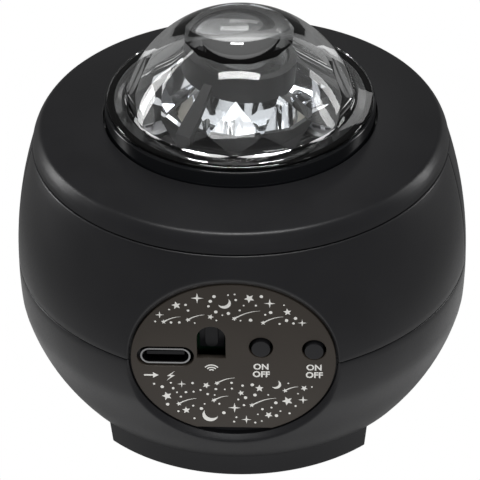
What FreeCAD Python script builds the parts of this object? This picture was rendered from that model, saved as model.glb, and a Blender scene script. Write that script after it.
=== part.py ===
"""Star night light projector: a round table lamp with a clear dome, its optics, drive and controls.

Frame: +Z up, origin on the table under the middle of the lamp, control panel towards -Y. Millimetres.
"""

import FreeCAD, Part
import math
import os

import Sketcher

# Driving dimensions. Heights are above the table, and a "level" is a height.
SIZES = {
    # Foot and pad
    "pad_thickness": 1.2,
    "pad_proud": 0.4,
    "pad_inset": 3.0,
    "foot_radius": 33.4,
    "foot_half_width": 23.7,
    "foot_draft": 1.0,
    "bowl_bottom_level": 5.0,
    # Housing
    "wall": 2.2,
    "floor_thickness": 2.0,
    "bowl_bottom_radius": 33.5,
    "belly_drop": 0.35,
    "bowl_belly_level": 20.5,
    "bowl_curve": 39.0,
    "rim_radius": 41.5,
    "rim_curve": 76.0,
    "parting_level": 28.8,
    "parting_gap": 0.25,
    "lap_height": 1.6,
    "lap_thickness": 1.0,
    "lap_clearance": 0.1,
    "upper_curve": 80.0,
    "shoulder_radius": 37.85,
    "shoulder_level": 52.9,
    "rear_span": 168.0,
    "seam_gap": 0.3,
    "groove_height": 0.45,
    "edge_round": 0.35,
    "bevel_curve": 8.0,
    "crown_radius": 36.45,
    "crown_level": 56.1,
    "mouth_radius": 24.85,
    "mouth_level": 58.05,
    "mouth_land": 4.2,
    "mouth_land_level": 56.0,
    # Dome and its ring
    "ring_radius": 24.6,
    "ring_wall": 2.0,
    "ring_top_level": 60.9,
    "ring_flange_radius": 28.4,
    "ring_flange_thickness": 1.5,
    "ring_ledge_radius": 20.6,
    "ring_ledge_thickness": 1.2,
    "flange_radius": 24.2,
    "flange_thickness": 0.9,
    "dome_radius": 21.8,
    "dome_centre_level": 55.8,
    "dome_wall": 1.6,
    "facets_round": 12.0,
    # Panel recess and panel
    "panel_level": 29.0,
    "panel_half_width": 18.3,
    "panel_half_height": 16.2,
    "panel_flat_drop": 15.05,
    "panel_setback": 5.0,
    "panel_thickness": 1.2,
    "recess_gap": 0.35,
    "recess_wall": 2.2,
    "recess_flare": 0.8,
    "ledge_width": 1.3,
    "ledge_thickness": 1.5,
    # What stands on the board and shows through the panel
    "board_setback": 8.9,
    "board_thickness": 1.6,
    "board_half_width": 19.0,
    "board_half_height": 13.0,
    "board_corner": 2.0,
    "usb_offset": 12.1,
    "usb_rise": 0.5,
    "usb_width": 8.94,
    "usb_height": 3.26,
    "usb_wall": 0.3,
    "usb_mouth_setback": 0.2,
    "usb_window_width": 10.2,
    "usb_window_height": 4.2,
    "tongue_width": 6.7,
    "tongue_thickness": 0.7,
    "tongue_setback": 1.0,
    "insulator_depth": 2.0,
    "window_offset": 3.9,
    "window_width": 5.1,
    "window_bottom": 0.3,
    "window_top": 7.1,
    "receiver_width": 4.4,
    "receiver_setback": 3.2,
    "receiver_depth": 2.4,
    "receiver_lens_radius": 1.1,
    "receiver_lens_height": 4.7,
    "receiver_edge": 0.3,
    "lead_width": 0.5,
    "lead_pitch": 1.27,
    "lead_drop": 1.5,
    "left_button_offset": 4.95,
    "left_button_rise": 2.75,
    "right_button_offset": 14.4,
    "right_button_rise": 2.4,
    "button_hole_radius": 2.15,
    "stem_radius": 1.65,
    "stem_proud": 0.5,
    "stem_clearance": 0.08,
    "switch_width": 6.0,
    "switch_depth": 3.6,
    "switch_floor": 0.8,
    "switch_travel": 0.25,
    "standoff_radius": 2.3,
    "standoff_rise": 10.6,
    # Chassis
    "chassis_level": 47.0,
    "chassis_thickness": 2.0,
    "chassis_radius": 33.4,
    "chassis_bore": 5.6,
    "clamp_wall": 2.0,
    "leg_circle": 20.0,
    "leg_radius": 3.6,
    "leg_bottom_level": 12.0,
    "leg_pilot_depth": 10.0,
    "boss_radius": 4.2,
    "cover_post_circle": 31.0,
    "cover_post_radius": 2.6,
    "cover_post_top_level": 56.3,
    "deck_post_circle": 17.0,
    "deck_post_radius": 2.4,
    # Optics
    "deck_level": 57.0,
    "deck_thickness": 1.5,
    "deck_clearance": 0.2,
    "deck_bore": 10.9,
    "reflector_base_radius": 12.2,
    "reflector_top_radius": 15.4,
    "reflector_height": 4.4,
    "reflector_wall": 0.8,
    "reflector_facets": 10.0,
    "rotor_radius": 9.3,
    "rotor_flutes": 20.0,
    "rotor_flute_radius": 0.75,
    "rotor_flute_rise": 0.3,
    "rotor_hollow_radius": 6.7,
    "rotor_hollow_depth": 1.2,
    "rotor_straight_level": 61.5,
    "rotor_top_level": 65.6,
    "rotor_top_radius": 4.2,
    "barrel_radius": 10.2,
    "barrel_wall": 1.3,
    "barrel_height": 4.4,
    "barrel_level": 66.6,
    "barrel_tilt": 7.0,
    "lens_thickness": 1.0,
    "lens_crown": 2.3,
    "lens_seat": 0.9,
    "lens_drop": 0.3,
    "arm_foot_radius": 18.7,
    "arm_foot_reach": 1.6,
    "arm_foot_height": 1.0,
    "arm_overlap": 0.4,
    "arm_knee_radius": 18.2,
    "arm_knee_level": 63.0,
    "arm_thickness": 1.2,
    "arm_span": 9.0,
    "led_board_radius": 6.7,
    "led_board_thickness": 1.2,
    "led_circle": 3.9,
    "led_width": 2.6,
    "led_height": 1.6,
    # Drive
    "gear_module": 0.5,
    "gear_teeth": 48.0,
    "pinion_teeth": 12.0,
    "centre_play": 0.06,
    "tooth_play": 0.10,
    "gear_level": 50.2,
    "gear_thickness": 3.2,
    "cup_wall": 1.3,
    "cup_height": 3.1,
    "cup_floor": 1.6,
    "sleeve_radius": 8.0,
    "sleeve_wall": 0.9,
    "sleeve_clearance": 0.08,
    "sleeve_flange_radius": 10.4,
    "sleeve_flange_thickness": 0.8,
    "sleeve_top_level": 54.7,
    "motor_angle": 150.0,
    "motor_radius": 7.5,
    "motor_height": 12.0,
    "motor_boss_radius": 3.2,
    "motor_boss_height": 1.6,
    "motor_cap_radius": 5.2,
    "motor_cap_height": 1.4,
    "shaft_radius": 1.0,
    "shaft_clearance": 0.06,
    "shaft_depth": 2.0,
    "shaft_bore_depth": 4.0,
    "shaft_grip": 0.01,
    "motor_screw_spacing": 5.4,
    "motor_pilot_depth": 2.5,
    # Fasteners
    "base_screw_radius": 1.45,
    "base_screw_head": 2.8,
    "base_screw_head_height": 1.8,
    "base_screw_level": 1.4,
    "base_screw_length": 17.0,
    "small_screw_radius": 0.95,
    "small_screw_head": 1.8,
    "small_screw_head_height": 1.1,
    "cover_screw_length": 6.0,
    "board_screw_length": 5.0,
    "deck_screw_length": 5.0,
    "motor_screw_length": 3.2,
    "thread_clearance": 0.05,
    "hole_clearance": 0.25,
    "pilot_stop": 1.0,
}

PRESSURE_ANGLE = 20.0
ROOT_DEPTH = 1.25
LEG_ANGLES = (90.0, 210.0, 330.0)
COVER_POST_ANGLES = (45.0, 135.0, 225.0, 315.0)

doc = FreeCAD.newDocument("StarProjector")
sheet = doc.addObject("Spreadsheet::Sheet", "Sizes")
nodes = []


class Size:
    """A length with the spreadsheet formula it comes from, so that what uses it stays bound to the sheet."""

    def __init__(self, value, formula):
        self.value = float(value)
        self.formula = formula

    def _join(self, other, sign, result):
        return Size(result, f"({self.formula} {sign} {as_size(other).formula})")

    def __add__(self, other):
        return self._join(other, "+", self.value + as_size(other).value)

    def __sub__(self, other):
        return self._join(other, "-", self.value - as_size(other).value)

    def __mul__(self, other):
        return self._join(other, "*", self.value * as_size(other).value)

    def __truediv__(self, other):
        return self._join(other, "/", self.value / as_size(other).value)

    def __rsub__(self, other):
        return as_size(other) - self

    __radd__ = __add__
    __rmul__ = __mul__

    def __neg__(self):
        return Size(-self.value, f"(0 - {self.formula})")

    def __float__(self):
        return self.value


def as_size(number):
    """A Size as it is, or a plain number as a Size."""
    return number if isinstance(number, Size) else Size(number, repr(float(number)))


class Sheet:
    """The sheet's cells as attributes, each a Size."""

    def __init__(self, sizes):
        for row, (name, value) in enumerate(sizes.items(), 1):
            sheet.set(f"A{row}", name)
            sheet.set(f"B{row}", str(value))
            sheet.setAlias(f"B{row}", name)
            setattr(self, name, Size(value, f"Sizes.{name}"))


S = Sheet(SIZES)
doc.recompute()


def whole(size):
    """A count from the sheet as a whole number."""
    return round(size.value)


def bind(thing, path, size):
    """Set a property and bind it to its formula."""
    size = as_size(size)
    if "Sizes." in size.formula:
        thing.setExpression(path, size.formula)
    else:
        setattr(thing, path, size.value)


def root(a, b):
    """The square root of a*a - b*b."""
    a = as_size(a)
    b = as_size(b)
    return Size(math.sqrt(a.value**2 - b.value**2), f"sqrt({a.formula}^2 - {b.formula}^2)")


def polar(radius, angle):
    """The point at a radius and an angle in degrees."""
    turn = math.radians(angle)
    return radius * math.cos(turn), radius * math.sin(turn)


class Arc:
    """A profile edge bent to a radius, with its bulge to the left (+1) or right (-1) of its direction."""

    def __init__(self, end, radius, side):
        self.end = end
        self.radius = as_size(radius)
        self.side = side


def arc_middle(start, end, radius, side):
    """The point half-way along an arc shorter than a half circle."""
    chord = end - start
    sagitta = radius - math.sqrt(radius**2 - (chord.Length / 2) ** 2)
    left = FreeCAD.Vector(-chord.y, chord.x, 0).normalize()
    return (start + end) / 2 + left * (side * sagitta)


class Piece:
    """One PartDesign body, which becomes one node."""

    def __init__(self, name):
        self.body = doc.addObject("PartDesign::Body", name + "_body")
        self.body.Label = name
        nodes.append(self.body)

    def sketch(self, plane, offset=0.0):
        """An empty sketch on an origin plane, moved along the plane's normal."""
        sketch = self.body.newObject("Sketcher::SketchObject", "Sketch")
        origin_planes = self.body.Origin.OriginFeatures
        support = next(item for item in origin_planes if item.Role == plane + "_Plane")
        sketch.AttachmentSupport = (support, [""])
        sketch.MapMode = "FlatFace"
        offset = as_size(offset)
        sketch.AttachmentOffset = FreeCAD.Placement(FreeCAD.Vector(0, 0, offset.value), FreeCAD.Rotation())
        if "Sizes." in offset.formula:
            sketch.setExpression("AttachmentOffset.Base.z", offset.formula)
        return sketch

    def _fix(self, sketch, kind, first, point, size):
        """Hold a point's or an edge's size at its formula."""
        if kind == "Radius":
            number = sketch.addConstraint(Sketcher.Constraint("Radius", first, size.value))
        else:
            number = sketch.addConstraint(Sketcher.Constraint(kind, -1, 1, first, point, size.value))
        if "Sizes." in size.formula:
            sketch.setExpression(f"Constraints[{number}]", size.formula)

    def outline(self, sketch, points):
        """Draw a closed outline from points and Arc edges, each held at its formula."""
        ends = [item.end if isinstance(item, Arc) else item for item in points]
        ends = [(as_size(x), as_size(y)) for x, y in ends]
        first = sketch.GeometryCount
        count = len(points)
        for number in range(count):
            start = FreeCAD.Vector(ends[number - 1][0].value, ends[number - 1][1].value, 0)
            end = FreeCAD.Vector(ends[number][0].value, ends[number][1].value, 0)
            item = points[number]
            if isinstance(item, Arc):
                middle = arc_middle(start, end, item.radius.value, item.side)
                sketch.addGeometry(Part.Arc(start, middle, end))
            else:
                sketch.addGeometry(Part.LineSegment(start, end))
        for number in range(count):
            self._join_edges(sketch, points, ends, first, number)
        return sketch

    def _join_edges(self, sketch, points, ends, first, number):
        """Hold one vertex of an outline and the radius of the edge that leads to it."""
        edge = first + number
        following = first + (number + 1) % len(points)
        item = points[number]
        after = points[(number + 1) % len(points)]
        end_point = self._point_at(sketch, edge, item, ends[number])
        start_point = self._point_at(sketch, following, after, ends[number])
        sketch.addConstraint(Sketcher.Constraint("Coincident", edge, end_point, following, start_point))
        if isinstance(item, Arc):
            self._fix(sketch, "Radius", edge, 0, item.radius)
        self._place(sketch, edge, end_point, *ends[number])

    def _place(self, sketch, edge, point, x, y):
        """Hold a point at its two formulas."""
        for kind, size, axis in (("DistanceX", x, -2), ("DistanceY", y, -1)):
            if size.value == 0:
                sketch.addConstraint(Sketcher.Constraint("PointOnObject", edge, point, axis))
            else:
                self._fix(sketch, kind, edge, point, size)

    def _point_at(self, sketch, edge, item, place):
        """Which end of an edge lies at a place: 1 for its start, 2 for its end."""
        here = FreeCAD.Vector(place[0].value, place[1].value, 0)
        start = sketch.getPoint(edge, 1)
        end = sketch.getPoint(edge, 2)
        return 1 if (start - here).Length < (end - here).Length else 2

    def circle(self, sketch, x, y, radius):
        """Draw a circle held at its formulas."""
        x, y, radius = as_size(x), as_size(y), as_size(radius)
        circle = Part.Circle(FreeCAD.Vector(x.value, y.value, 0), FreeCAD.Vector(0, 0, 1), radius.value)
        edge = sketch.addGeometry(circle)
        self._fix(sketch, "Radius", edge, 0, radius)
        self._place(sketch, edge, 3, x, y)

    def oval(self, sketch, level, half_width, half_height):
        """Draw an ellipse centred on the panel's upright axis."""
        centre = FreeCAD.Vector(0, float(level), 0)
        wide = centre + FreeCAD.Vector(float(half_width), 0, 0)
        high = centre + FreeCAD.Vector(0, float(half_height), 0)
        sketch.addGeometry(Part.Ellipse(wide, high, centre))
        return sketch

    def feature(self, kind, sketch, **settings):
        """Add a sketch-based feature with its bound settings."""
        made = self.body.newObject("PartDesign::" + kind, kind)
        made.Profile = sketch
        if kind in ("Revolution", "Groove"):
            made.ReferenceAxis = (sketch, ["V_Axis"])
        for name, setting in settings.items():
            if isinstance(setting, (bool, list)):
                setattr(made, name, setting)
            else:
                bind(made, name, setting)
        sketch.Visibility = False
        return made

    def turn(self, points, plane="XZ", kind="Revolution", angle=360.0, midplane=False):
        """Turn an outline of radii and heights round the lamp's axis."""
        return self.feature(kind, self.outline(self.sketch(plane), points), Angle=angle, Midplane=midplane)

    def block(self, kind, plane, offset, points, length, backwards=False, **more):
        """Pad or pocket an outline by a length."""
        sketch = self.outline(self.sketch(plane, offset), points)
        return self.feature(kind, sketch, Length=length, Reversed=backwards, **more)

    def discs(self, kind, plane, offset, circles, length, backwards=False):
        """Pad or pocket one or more circles by a length."""
        sketch = self.sketch(plane, offset)
        for x, y, radius in circles:
            self.circle(sketch, x, y, radius)
        return self.feature(kind, sketch, Length=length, Reversed=backwards)


def keep(name, shape):
    """Keep a shape made by Part's own functions as one node."""
    feature = doc.addObject("Part::Feature", name + "_feature")
    feature.Shape = shape
    feature.Label = name
    nodes.append(feature)
    return feature


def rectangle(x, y, half_width, half_height):
    """The corners of a rectangle about a centre."""
    return [
        (x - half_width, y - half_height),
        (x + half_width, y - half_height),
        (x + half_width, y + half_height),
        (x - half_width, y + half_height),
    ]


def rounded_bar(x, y, half_width, half_height):
    """A bar with half-round ends, long in x."""
    reach = half_width - half_height
    return [
        (x + reach, y - half_height),
        Arc((x + half_width, y), half_height, -1),
        Arc((x + reach, y + half_height), half_height, -1),
        (x - reach, y + half_height),
        Arc((x - half_width, y), half_height, -1),
        Arc((x - reach, y - half_height), half_height, -1),
    ]


# Heights worked out from the driving dimensions
foot_bottom = S.pad_proud
upper_bottom = S.parting_level + S.parting_gap
shell_top = S.shoulder_level
cover_bottom = S.shoulder_level + S.groove_height
chassis_top = S.chassis_level + S.chassis_thickness
ring_bottom = S.mouth_land_level - S.ring_flange_thickness
deck_top = S.deck_level + S.deck_thickness

# Radii and depths worked out from the driving dimensions; a depth is a distance from the axis towards -Y
belly_radius = S.rim_radius - S.belly_drop
panel_face = S.rim_radius - S.panel_setback
panel_back = panel_face - S.panel_thickness
board_face = panel_face - S.board_setback
beyond = S.rim_radius * 2


def outside_bowl(reach, top):
    """An outline of the space outside the bowl's outer surface, from its bottom up to a level."""
    return [
        (reach, S.bowl_bottom_level),
        (reach, top),
        (S.rim_radius, top),
        Arc((belly_radius, S.bowl_belly_level), S.rim_curve, 1),
        Arc((S.bowl_bottom_radius, S.bowl_bottom_level), S.bowl_curve, 1),
    ]


def outside_shell(reach, side):
    """An outline of the space outside the upper shell's surface; side is -1 towards the panel."""
    return [
        (side * S.rim_radius, upper_bottom),
        Arc((side * S.shoulder_radius, shell_top), S.upper_curve, -side),
        (side * reach, shell_top),
        (side * reach, upper_bottom),
    ]


def add_tub(piece):
    """Add the tub that holds the panel to a housing piece."""
    margin = S.recess_gap + S.recess_wall
    back = panel_back - S.ledge_thickness
    sketch = piece.sketch("XZ", back)
    tub = piece.oval(sketch, S.panel_level, S.panel_half_width + margin, S.panel_half_height + margin)
    piece.feature("Pad", tub, Length=S.rim_radius + S.wall - back)


def open_tub(piece):
    """Cut the panel's seat, the flare that leads to it and the opening behind it."""
    seat_half_width = S.panel_half_width + S.recess_gap
    seat_half_height = S.panel_half_height + S.recess_gap
    depth = S.panel_setback + S.wall
    spread = depth * S.recess_flare
    near = piece.oval(piece.sketch("XZ", panel_face), S.panel_level, seat_half_width, seat_half_height)
    far = piece.sketch("XZ", panel_face + depth)
    piece.oval(far, S.panel_level, seat_half_width + spread, seat_half_height + spread)
    piece.feature("SubtractiveLoft", near, Sections=[far], Ruled=True)
    seat = piece.sketch("XZ", panel_face + S.edge_round)
    piece.oval(seat, S.panel_level, seat_half_width, seat_half_height)
    piece.feature("Pocket", seat, Length=S.panel_thickness + S.edge_round)
    hole_half_width = S.panel_half_width - S.ledge_width
    hole_half_height = S.panel_half_height - S.ledge_width
    hole = piece.oval(piece.sketch("XZ", panel_face), S.panel_level, hole_half_width, hole_half_height)
    piece.feature("Pocket", hole, Length=S.panel_thickness + S.ledge_thickness * 2)


def foot_outline(inset):
    """The foot's round outline with its two flat sides, as half-width, corner depth and radius."""
    half_width = S.foot_half_width - inset
    radius = S.foot_radius - inset
    corner = root(radius, half_width)
    return [
        (half_width, corner),
        Arc((-half_width, corner), radius, -1),
        (-half_width, -corner),
        Arc((half_width, -corner), radius, -1),
    ]


def on_circle(circle, angles, radius):
    """Discs of one radius at angles round the axis."""
    places = [polar(circle, angle) for angle in angles]
    return [(x, y, radius) for x, y in places]


def make_non_slip_pad():
    pad = Piece("non_slip_pad")
    pad.block("Pad", "XY", 0.0, foot_outline(S.pad_inset + S.hole_clearance), S.pad_thickness)
    access = on_circle(S.leg_circle, LEG_ANGLES, S.base_screw_head + S.hole_clearance)
    pad.discs("Pocket", "XY", S.pad_thickness, access, S.pad_thickness)


def make_foot():
    foot = Piece("foot")
    height = S.bowl_bottom_level - foot_bottom
    foot.block("Pad", "XY", foot_bottom, foot_outline(0.0), height, TaperAngle=S.foot_draft)
    seat = S.pad_thickness - S.pad_proud
    foot.block("Pocket", "XY", foot_bottom, foot_outline(S.pad_inset), seat, backwards=True)
    heads = on_circle(S.leg_circle, LEG_ANGLES, S.base_screw_head + S.hole_clearance)
    head_top = S.base_screw_level + S.base_screw_head_height
    foot.discs("Pocket", "XY", foot_bottom, heads, head_top - foot_bottom, backwards=True)
    holes = on_circle(S.leg_circle, LEG_ANGLES, S.base_screw_radius + S.hole_clearance)
    foot.discs("Pocket", "XY", foot_bottom, holes, height, backwards=True)


def make_lower_bowl():
    bowl = Piece("lower_bowl")
    inner_belly = belly_radius - S.wall
    floor_top = S.bowl_bottom_level + S.floor_thickness
    bowl.turn([
        (0.0, S.bowl_bottom_level),
        (S.bowl_bottom_radius, S.bowl_bottom_level),
        Arc((belly_radius, S.bowl_belly_level), S.bowl_curve, -1),
        Arc((S.rim_radius, S.parting_level), S.rim_curve, -1),
        (S.rim_radius - S.wall, S.parting_level),
        Arc((inner_belly, S.bowl_belly_level), S.rim_curve - S.wall, 1),
        Arc((S.bowl_bottom_radius - S.wall, floor_top), S.bowl_curve - S.wall, 1),
        (0.0, floor_top),
    ])
    bosses = on_circle(S.leg_circle, LEG_ANGLES, S.boss_radius)
    bowl.discs("Pad", "XY", S.bowl_bottom_level, bosses, S.leg_bottom_level - S.bowl_bottom_level)
    add_tub(bowl)
    bowl.turn(outside_bowl(beyond, S.parting_level), kind="Groove")
    over = [(0.0, S.parting_level), (beyond, S.parting_level), (beyond, beyond), (0.0, beyond)]
    bowl.turn(over, kind="Groove")
    open_tub(bowl)
    holes = on_circle(S.leg_circle, LEG_ANGLES, S.base_screw_radius + S.hole_clearance)
    bowl.discs("Pocket", "XY", S.bowl_bottom_level, holes, S.parting_level, backwards=True)


def upper_wall(side):
    """The upper shell's wall in section, with the lip that laps inside the bowl's rim."""
    inside = S.rim_radius - S.wall
    lip_outside = inside - S.lap_clearance
    lip_inside = lip_outside - S.lap_thickness
    lip_bottom = S.parting_level - S.lap_height
    shoulder_inside = S.shoulder_radius - S.wall
    root_level = upper_bottom + S.lap_height
    return [
        (side * S.rim_radius, upper_bottom),
        Arc((side * S.shoulder_radius, shell_top), S.upper_curve, -side),
        (side * shoulder_inside, shell_top),
        Arc((side * lip_inside, root_level), S.upper_curve - S.wall, side),
        (side * lip_inside, lip_bottom),
        (side * lip_outside, lip_bottom),
        (side * lip_outside, upper_bottom),
    ]


def make_rear_shell():
    """The upper shell's half with the control panel."""
    shell = Piece("rear_shell")
    shell.turn(upper_wall(-1), plane="YZ", angle=S.rear_span, midplane=True)
    add_tub(shell)
    shell.turn(outside_shell(beyond, -1), plane="YZ", kind="Groove")
    under_half_width = S.panel_half_width + S.recess_gap + S.recess_wall + S.lap_thickness
    notch = rectangle(0.0, upper_bottom / 2, under_half_width, upper_bottom / 2)
    shell.block("Pocket", "XZ", beyond, notch, beyond)
    open_tub(shell)


def make_front_shell():
    """The upper shell's plain half."""
    shell = Piece("front_shell")
    gap_angle = S.seam_gap * 360.0 / (S.rim_radius * 2 * math.pi)
    shell.turn(upper_wall(1), plane="YZ", angle=360.0 - S.rear_span - gap_angle * 2, midplane=True)


def make_top_cover():
    cover = Piece("top_cover")
    lip_outside = S.shoulder_radius - S.wall - S.lap_clearance
    lip_inside = lip_outside - S.lap_thickness
    land_radius = S.mouth_radius + S.mouth_land
    crown_inside = S.crown_radius - S.wall
    crown_under = S.crown_level - S.wall
    cover.turn([
        (lip_outside, cover_bottom),
        (S.shoulder_radius, cover_bottom),
        Arc((S.crown_radius, S.crown_level), S.bevel_curve, -1),
        (S.mouth_radius, S.mouth_level),
        (S.mouth_radius, S.mouth_land_level),
        (land_radius, S.mouth_land_level),
        (crown_inside, crown_under),
        (lip_inside, cover_bottom - S.groove_height),
        (lip_inside, cover_bottom - S.lap_height),
        (lip_outside, cover_bottom - S.lap_height),
    ])
    posts = on_circle(S.cover_post_circle, COVER_POST_ANGLES, S.cover_post_radius)
    cover.discs("Pad", "XY", chassis_top, posts, S.cover_post_top_level - chassis_top)
    pilots = on_circle(S.cover_post_circle, COVER_POST_ANGLES, S.small_screw_radius + S.thread_clearance)
    cover.discs("Pocket", "XY", chassis_top, pilots, S.cover_screw_length, backwards=True)


def make_dome_ring():
    ring = Piece("dome_ring")
    inside = S.ring_radius - S.ring_wall
    ledge_top = S.deck_level
    ring.turn([
        (inside, ring_bottom),
        (S.ring_flange_radius, ring_bottom),
        (S.ring_flange_radius, S.mouth_land_level),
        (S.ring_radius, S.mouth_land_level),
        (S.ring_radius, S.ring_top_level - S.edge_round),
        Arc((S.ring_radius - S.edge_round, S.ring_top_level), S.edge_round, -1),
        (inside, S.ring_top_level),
        (inside, ledge_top),
        (S.ring_ledge_radius, ledge_top),
        (S.ring_ledge_radius, ledge_top - S.ring_ledge_thickness),
        (inside, ledge_top - S.ring_ledge_thickness),
    ])


def faceted_core(radius, centre, bottom, facets):
    """The dome's hollow: rings of points on a sphere, each turned half a step, joined by triangles."""
    count = int(facets)
    levels = [bottom, centre + radius * 0.42, centre + radius * 0.68, centre + radius * 0.88]
    rings = []
    for number, level in enumerate(levels):
        ring_radius = math.sqrt(radius**2 - (level - centre) ** 2)
        shift = (number % 2) * 180.0 / count
        angles = [shift + 360.0 * step / count for step in range(count)]
        rings.append([FreeCAD.Vector(*polar(ring_radius, angle), level) for angle in angles])
    faces = [Part.makePolygon(ring + ring[:1]) for ring in (rings[0], rings[-1])]
    for number in range(len(rings) - 1):
        lower = rings[number]
        upper = rings[number + 1]
        lead = number % 2
        for step in range(count):
            after = (step + 1) % count
            tip = upper[(step + lead) % count]
            faces.append(Part.makePolygon([lower[step], lower[after], tip, lower[step]]))
            base = lower[(step + 1 - lead) % count]
            faces.append(Part.makePolygon([upper[step], base, upper[after], upper[step]]))
    shell = Part.Shell([Part.Face(wire) for wire in faces])
    solid = Part.Solid(shell)
    if solid.Volume < 0:
        solid.reverse()
    return solid


def make_dome():
    """The clear dome: smooth outside, cut into facets inside, with a flange that sits on the ring."""
    bottom = S.ring_top_level.value
    centre = FreeCAD.Vector(0, 0, S.dome_centre_level.value)
    ball = Part.makeSphere(S.dome_radius.value, centre)
    cap = ball.common(Part.makeCylinder(30.0, 40.0, FreeCAD.Vector(0, 0, bottom)))
    flange = Part.makeCylinder(S.flange_radius.value, S.flange_thickness.value, FreeCAD.Vector(0, 0, bottom))
    rounds = [flange.Edges[0]]
    flange = flange.makeFillet(S.edge_round.value, rounds)
    inner_radius = S.dome_radius.value - S.dome_wall.value
    core = faceted_core(inner_radius, centre.z, bottom, S.facets_round.value)
    keep("dome", cap.fuse(flange).removeSplitter().cut(core))


def make_io_panel():
    panel = Piece("io_panel")
    plate = panel.oval(panel.sketch("XZ", panel_back), S.panel_level, S.panel_half_width, S.panel_half_height)
    panel.feature("Pad", plate, Length=S.panel_thickness)
    standoff = panel_back - board_face
    posts = [(0.0, S.panel_level + S.standoff_rise, S.standoff_radius)]
    posts.append((0.0, S.panel_level - S.standoff_rise, S.standoff_radius))
    panel.discs("Pad", "XZ", board_face, posts, standoff)
    pilot = S.small_screw_radius + S.thread_clearance
    pilots = [(x, z, pilot) for x, z, _ in posts]
    panel.discs("Pocket", "XZ", board_face, pilots, S.board_screw_length - S.pilot_stop, backwards=True)
    before = panel_face + S.edge_round
    through = S.panel_thickness + S.edge_round * 2
    drop = S.panel_half_height - S.panel_flat_drop
    flat = rectangle(0.0, S.panel_level - S.panel_half_height, S.panel_half_width, drop)
    panel.block("Pocket", "XZ", before, flat, through)
    usb_level = S.panel_level + S.usb_rise
    usb = rounded_bar(-S.usb_offset, usb_level, S.usb_window_width / 2, S.usb_window_height / 2)
    panel.block("Pocket", "XZ", before, usb, through)
    half = S.window_width / 2
    spring = S.panel_level + S.window_top - half
    window = [
        (-half - S.window_offset, S.panel_level + S.window_bottom),
        (half - S.window_offset, S.panel_level + S.window_bottom),
        (half - S.window_offset, spring),
        Arc((-S.window_offset, spring + half), half, -1),
        Arc((-half - S.window_offset, spring), half, -1),
    ]
    panel.block("Pocket", "XZ", before, window, through)
    holes = [(x, z, S.button_hole_radius) for x, z in button_places()]
    panel.discs("Pocket", "XZ", before, holes, through)


def button_places():
    """The two buttons' places on the panel, as x and height."""
    left = (S.left_button_offset, S.panel_level + S.left_button_rise)
    right = (S.right_button_offset, S.panel_level + S.right_button_rise)
    return [left, right]


def make_main_board():
    board = Piece("main_board")
    half_width = S.board_half_width
    low = S.panel_level - S.board_half_height
    high = S.panel_level + S.board_half_height
    corner = S.board_corner
    outline = [
        (-half_width + corner, low),
        (half_width - corner, low),
        (half_width, low + corner),
        (half_width, high - corner),
        (half_width - corner, high),
        (-half_width + corner, high),
        (-half_width, high - corner),
        (-half_width, low + corner),
    ]
    board.block("Pad", "XZ", board_face - S.board_thickness, outline, S.board_thickness)
    hole = S.small_screw_radius + S.hole_clearance
    rises = (S.standoff_rise, -S.standoff_rise)
    holes = [(0.0, S.panel_level + rise, hole) for rise in rises]
    board.discs("Pocket", "XZ", board_face, holes, S.board_thickness)


def make_usb_socket():
    shell = Piece("usb_shell")
    depth = panel_face - S.usb_mouth_setback - board_face
    level = S.panel_level + S.usb_rise
    outer = rounded_bar(-S.usb_offset, level, S.usb_width / 2, S.usb_height / 2)
    shell.block("Pad", "XZ", board_face, outer, depth)
    inner_half_width = S.usb_width / 2 - S.usb_wall
    inner_half_height = S.usb_height / 2 - S.usb_wall
    inner = rounded_bar(-S.usb_offset, level, inner_half_width, inner_half_height)
    shell.block("Pocket", "XZ", panel_face, inner, panel_face - board_face)
    core = Piece("usb_insulator")
    plug_half_width = inner_half_width - S.thread_clearance
    plug_half_height = inner_half_height - S.thread_clearance
    plug = rounded_bar(-S.usb_offset, level, plug_half_width, plug_half_height)
    core.block("Pad", "XZ", board_face, plug, S.insulator_depth)
    tongue = rectangle(-S.usb_offset, level, S.tongue_width / 2, S.tongue_thickness / 2)
    core.block("Pad", "XZ", board_face, tongue, depth - S.tongue_setback)


def make_ir_receiver():
    receiver = Piece("ir_receiver")
    middle = S.panel_level + (S.window_top + S.window_bottom) / 2
    face = panel_face - S.receiver_setback
    half_height = (S.window_top - S.window_bottom) / 2 - S.receiver_edge
    body = rectangle(-S.window_offset, middle, S.receiver_width / 2, half_height)
    receiver.block("Pad", "XZ", face - S.receiver_depth, body, S.receiver_depth)
    half = S.receiver_lens_radius
    reach = S.receiver_lens_height / 2 - half
    lens = [
        (half - S.window_offset, middle + reach),
        Arc((-S.window_offset, middle + reach + half), half, -1),
        Arc((-half - S.window_offset, middle + reach), half, -1),
        (-half - S.window_offset, middle - reach),
        Arc((-S.window_offset, middle - reach - half), half, -1),
        Arc((half - S.window_offset, middle - reach), half, -1),
    ]
    receiver.block("Pad", "XZ", face, lens, half)
    for step in (-1, 0, 1):
        x = S.lead_pitch * step - S.window_offset
        lead = rectangle(x, middle - S.lead_drop, S.lead_width / 2, S.lead_width / 2)
        receiver.block("Pad", "XZ", board_face, lead, face - S.receiver_depth - board_face)


def make_buttons():
    """The tact switches on the board and the long stems that reach through the panel."""
    for side, (x, z) in zip(("left", "right"), button_places()):
        switch = Piece(side + "_switch")
        half = S.switch_width / 2
        switch.block("Pad", "XZ", board_face, rectangle(x, z, half, half), S.switch_depth)
        bore = [(x, z, S.stem_radius + S.stem_clearance)]
        depth = S.switch_depth - S.switch_floor
        switch.discs("Pocket", "XZ", board_face + S.switch_depth, bore, depth)
        stem = Piece(side + "_button")
        inner_end = board_face + S.switch_floor + S.switch_travel + S.lap_clearance
        length = panel_face + S.stem_proud - inner_end
        stem.discs("Pad", "XZ", inner_end, [(x, z, S.stem_radius)], length)


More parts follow.
